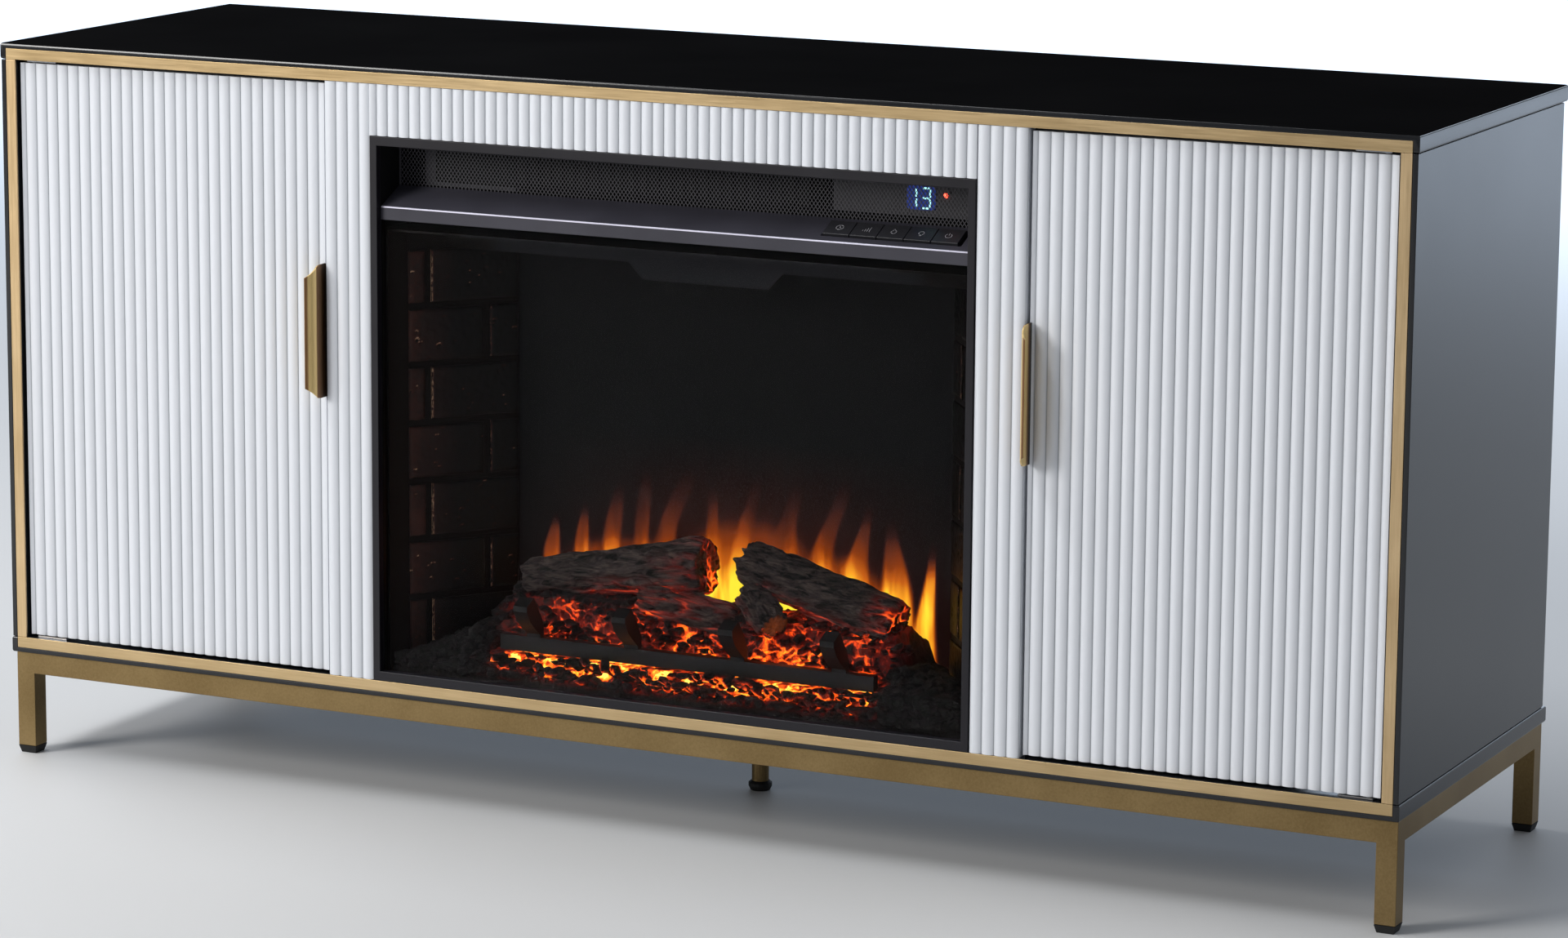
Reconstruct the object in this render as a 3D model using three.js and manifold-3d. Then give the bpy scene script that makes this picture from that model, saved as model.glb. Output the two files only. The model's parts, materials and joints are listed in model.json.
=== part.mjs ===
// A fireplace TV stand: a low cabinet with two fluted doors beside an electric fireplace insert.
// Millimetres. +X is right as seen from the front, +Y is the back, +Z is up.
// The origin is on the floor, under the middle of the whole stand.
import * as THREE from 'three';
import { mergeVertices } from 'three/addons/utils/BufferGeometryUtils.js';
import Module from 'manifold-3d';

const wasm = await Module();
wasm.setup();

// Cabinet
const cabinetWidth = 1372;
const cabinetDepth = 400;
const cabinetHeight = 673;
const boardThickness = 15;
const slabEdgeRadius = 2;
const sidePanelInset = 1;
const sidePanelBackInset = 7;
const backPanelThickness = 4;
const backPanelInset = 3;
const cableHoleDiameter = 60;
const cableHoleHeight = 70;
const ventWidth = 400;
const ventHeight = 300;

// Clearance between pieces that meet, and how far a cutting tool runs past what it cuts
const seatGap = 0.3;
const cutOverrun = 1;

// Gold trim strips, let into the front edges of the boards
const trimWidth = 10;
const trimThickness = 2;

// Base frame of square steel tube, on rubber feet
const floorToBoard = 98;
const railHeight = 20;
const tubeSize = 19;
const tubeWall = 1.5;
const baseSideInset = 2;
const baseFrontInset = 4.5;
const footHeight = 7;
const footTaper = 2;
const footStemHeight = 15;
const centreLegDiameter = 16;
const centreFlangeDiameter = 44;
const centreFlangeThickness = 2;
const centreFootDiameter = 22;
const centreFootHeight = 9;
const centreFootFloor = 4;

// Fluted fronts: convex reeds side by side
const frontBoardThickness = 16;
const reedDepth = 2;
const reedPitch = 11.55;
const headerReedPitch = 11.03;
const doorFirstReed = 4.2;
const headerFirstReed = 6.7;
const stileReeds = 4;
const stileWidth = 46.5;
const headerHeight = 46.5;
const doorRecess = 5;
const doorSideGap = 2.5;
const doorEndGap = 3;

// Insert opening between the stiles, and the dividers behind them
const insertOpeningWidth = 590.4;
const dividerInset = 2;

// Shelves, each on four dowels
const shelfHeight = 265;
const shelfFrontInset = 40;
const dowelDiameter = 8;
const dowelLength = 11;
const dowelEndInset = 50;

// Door handles: a formed plate on the inner edge of each door, with a curled lip
const handlePlate = 1.6;
const handleHeight = 122;
const handleAboveMiddle = 45.5;
const handleReach = 22;
const handleRoot = 13;
const handleCurlRadius = 16;
const handleCurlAngle = THREE.MathUtils.degToRad(52);
const handleCornerRun = 14;
const handleCornerDrop = 11;

// Pivot hinges: a pin on the slab turns in a socket that is let into the end of the door
const pivotInset = 12;
const pivotDepth = 7;
const pivotPinDiameter = 5;
const pivotPinLength = 11;
const pivotShoulderDiameter = 7.6;
const pivotPlateLength = 31;
const pivotPlateWidth = 12;
const pivotPlateThickness = 1.5;
const socketDiameter = 8;
const socketDepth = 13;

// Magnetic catches above the doors, and the strike plates that they hold
const catchFromEdge = 60;
const catchLength = 44;
const catchDepth = 15;
const catchHeight = 15;
const strikeFromEnd = 3;
const strikeLength = 36;
const strikeHeight = 9;
const strikeThickness = 1;

// Fireplace insert: bezel and housing
const bezelSideGap = 0.5;
const bezelSideTrim = 7;
const bezelTopTrim = 8.6;
const bezelBottomTrim = 8.7;
const bezelThickness = 2;
const bezelReturn = 5.5;
const housingSheet = 1.2;
const housingDepth = 197;
const housingVentWidth = 200;
const housingVentHeight = 10;
const housingVentSpread = 90;
const glandDiameter = 16;
const glandLength = 9;
const glandBore = 8;
const glandInset = 40;

// Control hood, keys, outlet grille and display
const hoodSheet = 1.5;
const hoodFrontDepth = 6;
const hoodDrop = 63.7;
const hoodFlangeHeight = 12;
const hoodBackDepth = 40;
const hoodAngle = THREE.MathUtils.degToRad(24.8);
const keyCount = 5;
const keyWidth = 25;
const keyLength = 21;
const keyHeight = 5;
const keyGap = 0.6;
const keyProud = 1;
const keyTravel = 1;
const keyRowEndInset = 15.5;
const keyRowFromEdge = 10.8;
const keySlotFront = 2.4;
const keySlotRight = 4;
const grilleThickness = 1;
const grilleHolePitch = 13;
const grilleHoleShare = 0.7;
const grilleRows = 2;
const displayWidth = 145;
const displayHeight = 34;
const displayDepth = 8;
const digitWidth = 11;
const digitHeight = 19;
const digitsFromEnd = 73.4;
const digitPitch = 13;
const digitProud = 1;
const digitFromTop = 6;

// Warm-air blower and heater
const blowerDiameter = 32;
const blowerHubDiameter = 8;
const blowerBlades = 14;
const blowerBladeThickness = 1.4;
const blowerLeft = -168;
const blowerLength = 288;
const blowerDepth = 84;
const blowerShaftDiameter = 5;
const blowerShaftEnd = 12;
const motorShaftEntry = 6;
const blowerMotorLength = 82;
const heaterDepth = 10;
const heaterHeight = 32;
const heaterFins = 24;
const heaterFinShare = 0.45;
const heaterFinDepth = 3;
const bearingPlate = 2;
const bearingWidth = 14;

// Firebox: brick liner, flame screen, glass, logs, grate and flame spindle
const glassThickness = 4;
const glassFrontDepth = 8.5;
const glassTopGap = 3;
const linerSheet = 2;
const linerFrontDepth = 16;
const linerBendDepth = 50;
const linerBackDepth = 137;
const linerBackHalfWidth = 218;
const linerFloorGap = 5.5;
const linerTopGap = 8.5;
const brickPitch = 53.8;
const brickLength = 116;
const brickJoint = 6;
const brickProud = 1.5;
const brickFromBottom = 10.5;
const brickHalfJoint = 17;
const valanceDepth = 80;
const valanceHeight = 24;
const valanceTabHalfWidth = 76;
const valanceTabDrop = 15;
const valanceTabCorner = 14;
const screenThickness = 3;
const screenMargin = 5;
const bedFront = 15;
const bedSill = 7;
const bedLedge = 5;
const bedHollow = 20;
const bedSideGap = 2.5;
const bedCrownHalfWidth = 185;
const bedShoulderHalfWidth = 205;
const bedShoulderRise = 43.5;
const bedWallRise = 9;
const logRadius = 27;
const grateDepth = 42;
const grateBarThickness = 9;
const grateRise = 31;
const grateBarHeight = 14;
const grateHalfLength = 186;
const clawWidth = 14;
const clawReach = 34;
const clawRise = 44.5;
const clawSink = 5;
const clawInner = 53;
const clawOuter = 152;
const ledBoardThickness = 2;
const ledBoardHalfWidth = 200;
const ledBoardDepth = 70;
const spindleDepth = 166;
const spindleRise = 37.5;
const spindleShaftDiameter = 6;
const spindleEndInset = 33;
const spindleFlags = 9;
const spindleFlagLength = 26;
const spindleFlagReach = 13;
const spindleFlagThickness = 1;
const spindleMotorSize = 44;
const spindleMotorLength = 26;

// How finely round faces and reeds are cut
const reedSteps = 4;
const roundSides = 20;
const smallRoundSides = 12;
const curlSteps = 5;

// Places worked out from the sizes above
const front = (handleReach - cabinetDepth) / 2;
const back = front + cabinetDepth;
const slabHalf = cabinetWidth / 2;
const topUnderside = cabinetHeight - boardThickness;
const bottomTop = floorToBoard + boardThickness;
const sideOuter = slabHalf - sidePanelInset;
const sideInner = sideOuter - boardThickness;
const panelBottom = bottomTop + seatGap;
const panelTop = topUnderside - seatGap;
const openingHalf = insertOpeningWidth / 2;
const stileOuter = openingHalf + stileWidth;
const dividerInner = openingHalf + dividerInset;
const dividerOuter = dividerInner + boardThickness;
const backPanelBack = back - sidePanelBackInset - backPanelInset;
const backPanelFront = backPanelBack - backPanelThickness;
const insideBack = backPanelFront - seatGap;
const doorOuter = sideInner - doorSideGap;
const doorInner = stileOuter + doorSideGap;
const doorFront = front + doorRecess;
const doorBack = doorFront + frontBoardThickness;
const doorBottom = bottomTop + doorEndGap;
const doorTop = topUnderside - doorEndGap;
const handleCentreHeight = (doorBottom + doorTop) / 2 + handleAboveMiddle;
const insertTop = topUnderside - headerHeight - seatGap;

// Materials
const paint = (color, roughness, metalness = 0) =>
  new THREE.MeshStandardMaterial({ color, roughness, metalness });
const materials = {
  blackBoard: () => paint(0x1b1c1f, 0.35),
  rawBoard: () => paint(0x2a2a2c, 0.6),
  whiteReed: () => paint(0xe9ebee, 0.45),
  goldTrim: () => paint(0xcbb583, 0.35, 0.9),
  bronzeTube: () => paint(0x7f6c45, 0.4, 0.9),
  brassHandle: () => paint(0xa58c55, 0.35, 0.9),
  rubber: () => paint(0x0c0c0c, 0.8),
  steel: () => paint(0xb9bcc0, 0.3, 0.9),
  greyMetal: () => paint(0x47454c, 0.45, 0.6),
  blackMetal: () => paint(0x17171a, 0.5, 0.5),
  key: () => paint(0x2f2e34, 0.4),
  display: () => paint(0x101830, 0.3),
  glass: () => paint(0x0c0c0d, 0.05),
  brick: () => paint(0x2d1d19, 0.85),
  screen: () => paint(0x171717, 0.3),
  log: () => paint(0x33261f, 0.9),
  board: () => paint(0x1f4a2c, 0.5),
};

// Booleans on closed geometry

function toSolid(geometry) {
  const bare = geometry.clone();
  bare.deleteAttribute('normal');
  bare.deleteAttribute('uv');
  const merged = mergeVertices(bare);
  return new wasm.Manifold(new wasm.Mesh({
    numProp: 3,
    vertProperties: Float32Array.from(merged.attributes.position.array),
    triVerts: Uint32Array.from(merged.index.array),
  }));
}

function toGeometry(solid) {
  const mesh = solid.getMesh();
  const geometry = new THREE.BufferGeometry();
  const positions = Float32Array.from(mesh.vertProperties);
  geometry.setAttribute('position', new THREE.BufferAttribute(positions, mesh.numProp));
  geometry.setIndex(new THREE.BufferAttribute(Uint32Array.from(mesh.triVerts), 1));
  geometry.computeVertexNormals();
  return geometry;
}

const join = (...pieces) => toGeometry(pieces.map(toSolid).reduce((whole, piece) => whole.add(piece)));
const cut = (piece, ...tools) =>
  toGeometry(tools.map(toSolid).reduce((left, tool) => left.subtract(tool), toSolid(piece)));
const common = (piece, other) => toGeometry(toSolid(piece).intersect(toSolid(other)));

// Basic shapes, each between the limits that it is given

function block(x0, x1, y0, y1, z0, z1) {
  const geometry = new THREE.BoxGeometry(Math.abs(x1 - x0), Math.abs(y1 - y0), Math.abs(z1 - z0));
  return geometry.translate((x0 + x1) / 2, (y0 + y1) / 2, (z0 + z1) / 2);
}

const shapeOf = (points) => new THREE.Shape(points.map(([u, v]) => new THREE.Vector2(u, v)));

// An outline of x and y, standing from z0 to z1
function prismUp(points, z0, z1) {
  const geometry = new THREE.ExtrudeGeometry(shapeOf(points), { depth: z1 - z0, bevelEnabled: false });
  return geometry.translate(0, 0, z0);
}

// An outline of y and z, running from x0 to x1
function prismAcross(points, x0, x1) {
  const geometry = new THREE.ExtrudeGeometry(shapeOf(points), { depth: x1 - x0, bevelEnabled: false });
  const axes = [new THREE.Vector3(0, 1, 0), new THREE.Vector3(0, 0, 1), new THREE.Vector3(1, 0, 0)];
  return geometry.applyMatrix4(new THREE.Matrix4().makeBasis(...axes)).translate(x0, 0, 0);
}

// A shape of x and z, running from y0 back to y1
function prismBack(shape, y0, y1) {
  const geometry = new THREE.ExtrudeGeometry(shape, { depth: y1 - y0, bevelEnabled: false });
  const axes = [new THREE.Vector3(1, 0, 0), new THREE.Vector3(0, 0, 1), new THREE.Vector3(0, -1, 0)];
  return geometry.applyMatrix4(new THREE.Matrix4().makeBasis(...axes)).translate(0, y1, 0);
}

function rodAcross(diameter, x0, x1, y, z, sides = smallRoundSides) {
  const geometry = new THREE.CylinderGeometry(diameter / 2, diameter / 2, x1 - x0, sides);
  return geometry.rotateZ(Math.PI / 2).translate((x0 + x1) / 2, y, z);
}

function rodBack(diameter, x, y0, y1, z, sides = roundSides) {
  const geometry = new THREE.CylinderGeometry(diameter / 2, diameter / 2, y1 - y0, sides);
  return geometry.translate(x, (y0 + y1) / 2, z);
}

function rodUp(diameter, x, y, z0, z1, sides = roundSides) {
  const geometry = new THREE.CylinderGeometry(diameter / 2, diameter / 2, z1 - z0, sides);
  return geometry.rotateX(Math.PI / 2).translate(x, y, (z0 + z1) / 2);
}

// A block between an inner and an outer distance from the middle, on the left (-1) or the right (1)
function sideBlock(side, inner, outer, y0, y1, z0, z1) {
  return block(Math.min(side * inner, side * outer), Math.max(side * inner, side * outer), y0, y1, z0, z1);
}

const stand = new THREE.Group();

function addPart(name, geometry, material) {
  const mesh = new THREE.Mesh(geometry, material);
  mesh.name = name;
  stand.add(mesh);
  return mesh;
}

const sides = [['left', -1], ['right', 1]];

// Boards

function slab(z0) {
  const half = slabHalf - slabEdgeRadius;
  const outline = [
    [-half, front + slabEdgeRadius], [half, front + slabEdgeRadius],
    [half, back - slabEdgeRadius], [-half, back - slabEdgeRadius],
  ];
  const geometry = new THREE.ExtrudeGeometry(shapeOf(outline), {
    depth: boardThickness - slabEdgeRadius * 2,
    bevelThickness: slabEdgeRadius,
    bevelSize: slabEdgeRadius,
    bevelSegments: 2,
  });
  return geometry.translate(0, 0, z0 + slabEdgeRadius);
}

function trimRebate(z0, z1) {
  const half = sideInner + trimWidth + seatGap;
  return block(-half, half, front - cutOverrun, front + trimThickness + seatGap, z0, z1);
}

function buildSlabs() {
  const topRebate = trimRebate(topUnderside - cutOverrun, topUnderside + trimWidth + seatGap);
  addPart('top_panel', cut(slab(topUnderside), topRebate), materials.blackBoard());
  const bottomRebate = trimRebate(bottomTop - trimWidth - seatGap, bottomTop + cutOverrun);
  addPart('bottom_panel', cut(slab(floorToBoard), bottomRebate), materials.blackBoard());
}

const shelfBottom = bottomTop + shelfHeight;

// Two dowels at each end of a shelf, made with the given extra size for their bores
function shelfDowels(side, inner, outer, extra) {
  const ys = [front + shelfFrontInset + dowelEndInset, insideBack - dowelEndInset];
  const ends = [side * (inner - extra), side * (outer + extra)];
  return ys.map((y) => rodAcross(dowelDiameter + extra * 2, Math.min(...ends), Math.max(...ends),
    y, shelfBottom + boardThickness / 2));
}

function buildUprights() {
  const shelfInner = dividerOuter + seatGap;
  const shelfOuter = sideInner - seatGap;
  for (const [word, side] of sides) {
    const panel = sideBlock(side, sideInner, sideOuter, front, back - sidePanelBackInset,
      panelBottom, panelTop);
    const rebate = sideBlock(side, sideInner - cutOverrun, sideInner + trimWidth + seatGap,
      front - cutOverrun, front + trimThickness + seatGap, panelBottom - cutOverrun, panelTop + cutOverrun);
    const outerBores = shelfDowels(side, shelfOuter, shelfOuter + dowelLength, seatGap);
    addPart(`${word}_side_panel`, cut(panel, rebate, ...outerBores), materials.blackBoard());

    const divider = sideBlock(side, dividerInner, dividerOuter,
      front + frontBoardThickness + seatGap, insideBack, panelBottom, panelTop);
    const innerBores = shelfDowels(side, shelfInner - dowelLength, shelfInner, seatGap);
    addPart(`${word}_divider`, cut(divider, ...innerBores), materials.rawBoard());

    const shelf = sideBlock(side, shelfInner, shelfOuter,
      front + shelfFrontInset, insideBack, shelfBottom, shelfBottom + boardThickness);
    const dowels = shelfDowels(side, shelfInner - dowelLength, shelfOuter + dowelLength, 0);
    addPart(`${word}_shelf`, join(shelf, ...dowels), materials.rawBoard());
  }
}

// One back panel, with a cable hole behind each compartment and a vent behind the fireplace
function buildBackPanel() {
  const half = sideInner - seatGap;
  const panel = block(-half, half, backPanelFront, backPanelBack, panelBottom, panelTop);
  const toolFront = backPanelFront - cutOverrun;
  const toolBack = backPanelBack + cutOverrun;
  const holeX = (dividerOuter + sideInner) / 2;
  const holes = sides.map(([, side]) =>
    rodBack(cableHoleDiameter, side * holeX, toolFront, toolBack, bottomTop + cableHoleHeight));
  const middle = (bottomTop + topUnderside) / 2;
  const vent = block(-ventWidth / 2, ventWidth / 2, toolFront, toolBack,
    middle - ventHeight / 2, middle + ventHeight / 2);
  addPart('back_panel', cut(panel, ...holes, vent), materials.rawBoard());
}

function buildTrims() {
  const half = sideInner + trimWidth;
  const trimBack = front + trimThickness;
  addPart('top_trim', block(-half, half, front, trimBack, topUnderside, topUnderside + trimWidth),
    materials.goldTrim());
  addPart('bottom_trim', block(-half, half, front, trimBack, bottomTop - trimWidth, bottomTop),
    materials.goldTrim());
  for (const [word, side] of sides) {
    addPart(`${word}_trim`, sideBlock(side, sideInner, half, front, trimBack, panelBottom, panelTop),
      materials.goldTrim());
  }
}

// Base frame

function squareTube(x, y, size, z0, z1) {
  return block(x - size / 2, x + size / 2, y - size / 2, y + size / 2, z0, z1);
}

function buildBase() {
  const frameOuter = slabHalf - baseSideInset;
  const legX = frameOuter - tubeSize / 2;
  const frameFront = front + baseFrontInset;
  const frameBack = back - baseFrontInset;
  const legYs = { front: frameFront + tubeSize / 2, rear: frameBack - tubeSize / 2 };
  const railTop = floorToBoard - seatGap;
  const railBottom = railTop - railHeight;
  const bore = tubeSize - tubeWall * 2;

  // A rectangular ring, as far in from the tube's outer faces as given
  const ring = (inset, z0, z1) => cut(
    block(inset - frameOuter, frameOuter - inset, frameFront + inset, frameBack - inset, z0, z1),
    block(tubeSize - inset - frameOuter, frameOuter - tubeSize + inset,
      frameFront + tubeSize - inset, frameBack - tubeSize + inset, z0 - cutOverrun, z1 + cutOverrun),
  );
  const rails = ring(0, railBottom, railTop);
  const railBores = ring(tubeWall, railBottom + tubeWall, railTop - tubeWall);
  const legs = [];
  const legBores = [];
  for (const [word, side] of sides) {
    for (const [place, y] of Object.entries(legYs)) {
      legs.push(squareTube(side * legX, y, tubeSize, footHeight + seatGap, railTop));
      legBores.push(squareTube(side * legX, y, bore, footHeight - cutOverrun, railTop - tubeWall));
      addPart(`${place}_${word}_foot`, cornerFoot(side * legX, y, bore), materials.rubber());
    }
  }
  addPart('base_frame', cut(join(rails, ...legs), railBores, ...legBores), materials.bronzeTube());
}

// A tapered rubber plug: its stem fills the leg's tube
function cornerFoot(x, y, bore) {
  const corner = Math.SQRT1_2;
  const bottomRadius = (tubeSize / 2 - footTaper) / corner;
  const pad = new THREE.CylinderGeometry(tubeSize / 2 / corner, bottomRadius, footHeight, 4);
  pad.rotateX(Math.PI / 2).rotateZ(Math.PI / 4).translate(x, y, footHeight / 2);
  const stem = squareTube(x, y, bore - seatGap * 2, footHeight - cutOverrun, footHeight + footStemHeight);
  return join(pad, stem);
}

function buildCentreLeg() {
  const y = (front + back) / 2;
  const legTop = floorToBoard - seatGap;
  const tube = rodUp(centreLegDiameter, 0, y, centreFootFloor + seatGap, legTop);
  const flange = rodUp(centreFlangeDiameter, 0, y, legTop - centreFlangeThickness, legTop);
  addPart('centre_leg', join(tube, flange), materials.bronzeTube());

  const radius = centreFootDiameter / 2;
  const socket = centreLegDiameter / 2 + seatGap;
  const profile = [
    [0, 0], [radius - footTaper, 0], [radius, footTaper * 2], [radius, centreFootHeight - footTaper],
    [socket + seatGap, centreFootHeight], [socket, centreFootHeight],
    [socket, centreFootFloor], [0, centreFootFloor],
  ];
  const cap = new THREE.LatheGeometry(profile.map(([r, z]) => new THREE.Vector2(r, z)), roundSides);
  addPart('centre_foot', cap.rotateX(Math.PI / 2).translate(0, y, 0), materials.rubber());
}

// Fluted fronts

// Points along a reeded face from x0 to x1: the crests lie at yFront and the grooves reedDepth behind
function reedFace(x0, x1, yFront, pitch, firstReed) {
  const radius = (pitch * pitch / 4 + reedDepth * reedDepth) / (2 * reedDepth);
  const step = pitch / reedSteps;
  const start = x0 + firstReed - pitch;
  const depthAt = (x) => {
    const reeds = (x - start) / pitch;
    const fromGroove = (reeds - Math.floor(reeds + 1 / reedSteps / reedSteps)) * pitch;
    const fromCrest = fromGroove - pitch / 2;
    return Math.min(reedDepth, radius - Math.sqrt(radius * radius - fromCrest * fromCrest));
  };
  const count = Math.ceil((x1 - start) / step);
  const inside = Array.from({ length: count + 1 }, (_, k) => start + k * step)
    .filter((x) => x > x0 + step / reedSteps && x < x1 - step / reedSteps);
  return [x0, ...inside, x1].map((x) => [x, yFront + depthAt(x)]);
}

function reededBoard(x0, x1, yFront, z0, z1, pitch, firstReed) {
  const yBack = yFront + frontBoardThickness;
  const outline = [...reedFace(x0, x1, yFront, pitch, firstReed), [x1, yBack], [x0, yBack]];
  return prismUp(outline, z0, z1);
}

function buildFixedFronts() {
  for (const [word, side] of sides) {
    const x0 = Math.min(side * openingHalf, side * stileOuter);
    const pitch = stileWidth / stileReeds;
    addPart(`${word}_fluted_stile`,
      reededBoard(x0, x0 + stileWidth, front, panelBottom, panelTop, pitch, pitch), materials.whiteReed());
  }
  const half = openingHalf - seatGap;
  addPart('fluted_header', reededBoard(-half, half, front, topUnderside - headerHeight, panelTop,
    headerReedPitch, headerFirstReed), materials.whiteReed());
}

function buildDoors() {
  for (const [word, side] of sides) {
    const x0 = Math.min(side * doorInner, side * doorOuter);
    const board = reededBoard(x0, x0 + doorOuter - doorInner, doorFront, doorBottom, doorTop,
      reedPitch, doorFirstReed);
    const hardware = [...socketBores(side), strikeBlock(side, seatGap)];
    const rebate = sideBlock(side, doorInner - cutOverrun, doorInner + handlePlate + seatGap,
      doorFront - cutOverrun, doorFront + handleRoot + seatGap,
      handleCentreHeight - handleHeight / 2 - seatGap, handleCentreHeight + handleHeight / 2 + seatGap);
    addPart(`${word}_door`, cut(board, ...hardware, rebate), materials.whiteReed());
    addPart(`${word}_handle`, handle(side), materials.brassHandle());
  }
}

// The plate runs forward from the door's inner edge, then curls away from the middle of the stand
function handle(side) {
  const tipY = front - handleReach;
  const curlStart = tipY + (handleCurlRadius + handlePlate / 2) * Math.sin(handleCurlAngle);
  const plateX = doorInner + handlePlate / 2;
  const centreLine = [[plateX, doorFront + handleRoot, 0]];
  for (let k = 0; k <= curlSteps; k += 1) {
    const angle = handleCurlAngle * k / curlSteps;
    const x = plateX + handleCurlRadius * (1 - Math.cos(angle));
    centreLine.push([x, curlStart - handleCurlRadius * Math.sin(angle), angle]);
  }
  const offset = ([x, y, angle], distance) =>
    [x + distance * Math.cos(angle), y + distance * Math.sin(angle)];
  const outline = [
    ...centreLine.map((point) => offset(point, handlePlate / 2)),
    ...centreLine.map((point) => offset(point, -handlePlate / 2)).reverse(),
  ].map(([x, y]) => [side * x, y]);
  const bottom = handleCentreHeight - handleHeight / 2;
  const top = bottom + handleHeight;
  const plate = prismUp(outline, bottom, top);

  const rootY = doorFront + handleRoot + cutOverrun;
  const cornerY = tipY + handleCornerRun;
  const farY = tipY - cutOverrun;
  const profile = [
    [rootY, bottom], [cornerY, bottom], [farY, bottom + handleCornerDrop],
    [farY, top - handleCornerDrop], [cornerY, top], [rootY, top],
  ];
  const limits = [side * (doorInner - cutOverrun), side * (doorInner + handleCurlRadius * 2)];
  return common(plate, prismAcross(profile, Math.min(...limits), Math.max(...limits)));
}

// Pivot hinges and catches

const pivotX = doorOuter - pivotInset;
const pivotY = doorFront + pivotDepth;

// Each end of a door: the heights of the slab's face and of the door's end, and the way into the door
const doorEnds = {
  lower: { slabFace: bottomTop + seatGap, doorEnd: doorBottom, inward: 1 },
  upper: { slabFace: topUnderside - seatGap, doorEnd: doorTop, inward: -1 },
};

// A rod, and a plate, on a pivot's place between two heights given in either order
const rodBetween = (diameter, x, z0, z1) =>
  rodUp(diameter, x, pivotY, Math.min(z0, z1), Math.max(z0, z1));

function plateBetween(side, width, extra, z0, z1) {
  const outer = doorOuter - pivotDepth;
  return sideBlock(side, outer - pivotPlateLength - extra, outer + extra,
    pivotY - width / 2 - extra, pivotY + width / 2 + extra, Math.min(z0, z1), Math.max(z0, z1));
}

function buildPivots() {
  for (const [word, side] of sides) {
    for (const [place, { slabFace, doorEnd, inward }] of Object.entries(doorEnds)) {
      const x = side * pivotX;
      const plateFace = slabFace + inward * pivotPlateThickness;
      const shoulderFace = doorEnd - inward * seatGap;
      const pinEnd = doorEnd + inward * pivotPinLength;
      addPart(`${word}_${place}_pivot`, join(
        plateBetween(side, pivotPlateWidth, 0, slabFace, plateFace),
        rodBetween(pivotShoulderDiameter, x, slabFace, shoulderFace),
        rodBetween(pivotPinDiameter, x, slabFace, pinEnd),
      ), materials.steel());

      const bushEnd = doorEnd + inward * socketDepth;
      addPart(`${word}_${place}_socket`, cut(
        join(
          plateBetween(side, socketDiameter, 0, doorEnd, doorEnd + inward * pivotPlateThickness),
          rodBetween(socketDiameter, x, doorEnd, bushEnd),
        ),
        rodBetween(pivotPinDiameter + seatGap * 2, x,
          doorEnd - inward * cutOverrun, bushEnd + inward * cutOverrun),
      ), materials.steel());
    }
  }
}

// The room that a door's two sockets need in it
function socketBores(side) {
  return Object.values(doorEnds).flatMap(({ doorEnd, inward }) => {
    const outside = doorEnd - inward * cutOverrun;
    return [
      plateBetween(side, socketDiameter, seatGap,
        outside, doorEnd + inward * (pivotPlateThickness + seatGap)),
      rodBetween(socketDiameter + seatGap * 2, side * pivotX,
        outside, doorEnd + inward * (socketDepth + seatGap)),
    ];
  });
}

const catchX = doorInner + catchFromEdge;
const catchTop = topUnderside - seatGap;
const strikeTop = doorTop - strikeFromEnd;

// The strike plate, or with some extra size the recess for it
function strikeBlock(side, extra) {
  const half = strikeLength / 2 + extra;
  return sideBlock(side, catchX - half, catchX + half, doorBack - strikeThickness - extra, doorBack + extra,
    strikeTop - strikeHeight - extra, strikeTop + extra);
}

// A magnet block with two pole plates that end just behind the strike plate
function buildCatches() {
  const half = catchLength / 2;
  const bodyFront = doorBack + seatGap + strikeThickness;
  for (const [word, side] of sides) {
    const body = sideBlock(side, catchX - half, catchX + half, bodyFront, doorBack + catchDepth,
      catchTop - catchHeight, catchTop);
    const poles = [-1, 1].map((way) => {
      const z = strikeTop - strikeHeight / 2 + way * strikeHeight / 4;
      return sideBlock(side, catchX - strikeLength / 2, catchX + strikeLength / 2, doorBack + seatGap,
        doorBack + catchDepth / 2, z - strikeThickness, z + strikeThickness);
    });
    addPart(`${word}_door_catch`, join(body, ...poles), materials.blackMetal());
    addPart(`${word}_strike_plate`, strikeBlock(side, 0), materials.steel());
  }
}

// Fireplace insert: bezel and housing

const bezelHalf = openingHalf - bezelSideGap;
const bezelBottom = bottomTop + seatGap;
const insertInnerHalf = bezelHalf - bezelSideTrim;
const windowBottom = bezelBottom + bezelBottomTrim;
const windowTop = insertTop - bezelTopTrim;
const housingFront = front + bezelThickness + bezelReturn + seatGap;
const housingBack = housingFront + housingDepth;
const housingOuter = insertInnerHalf + housingSheet;
const housingInner = housingOuter - housingSheet;
const housingBottom = bottomTop + seatGap;
const housingTop = insertTop - bezelTopTrim + housingSheet * 2;
const housingFloor = housingBottom + housingSheet;
const housingCeiling = housingTop - housingSheet;
const blowerHeight = housingCeiling - blowerDiameter / 2 - bearingPlate * 2;
const blowerY = front + blowerDepth;
const spindleY = front + spindleDepth;
const spindleHeight = housingFloor + spindleRise;
const spindleHalfLength = linerBackHalfWidth - spindleEndInset;
const hoodFlangeTop = insertTop - hoodDrop;
const hoodFlangeBottom = hoodFlangeTop - hoodFlangeHeight;
const linerTop = hoodFlangeBottom - linerTopGap;
const linerBottom = housingFloor + linerFloorGap;
const grateBarBottom = housingFloor + grateRise;

const rectangle = (half, z0, z1) => [[-half, z0], [half, z0], [half, z1], [-half, z1]];

function ring(outer, inner, y0, y1) {
  const shape = shapeOf(outer);
  shape.holes.push(new THREE.Path(inner.map(([u, v]) => new THREE.Vector2(u, v))));
  return prismBack(shape, y0, y1);
}

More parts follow.
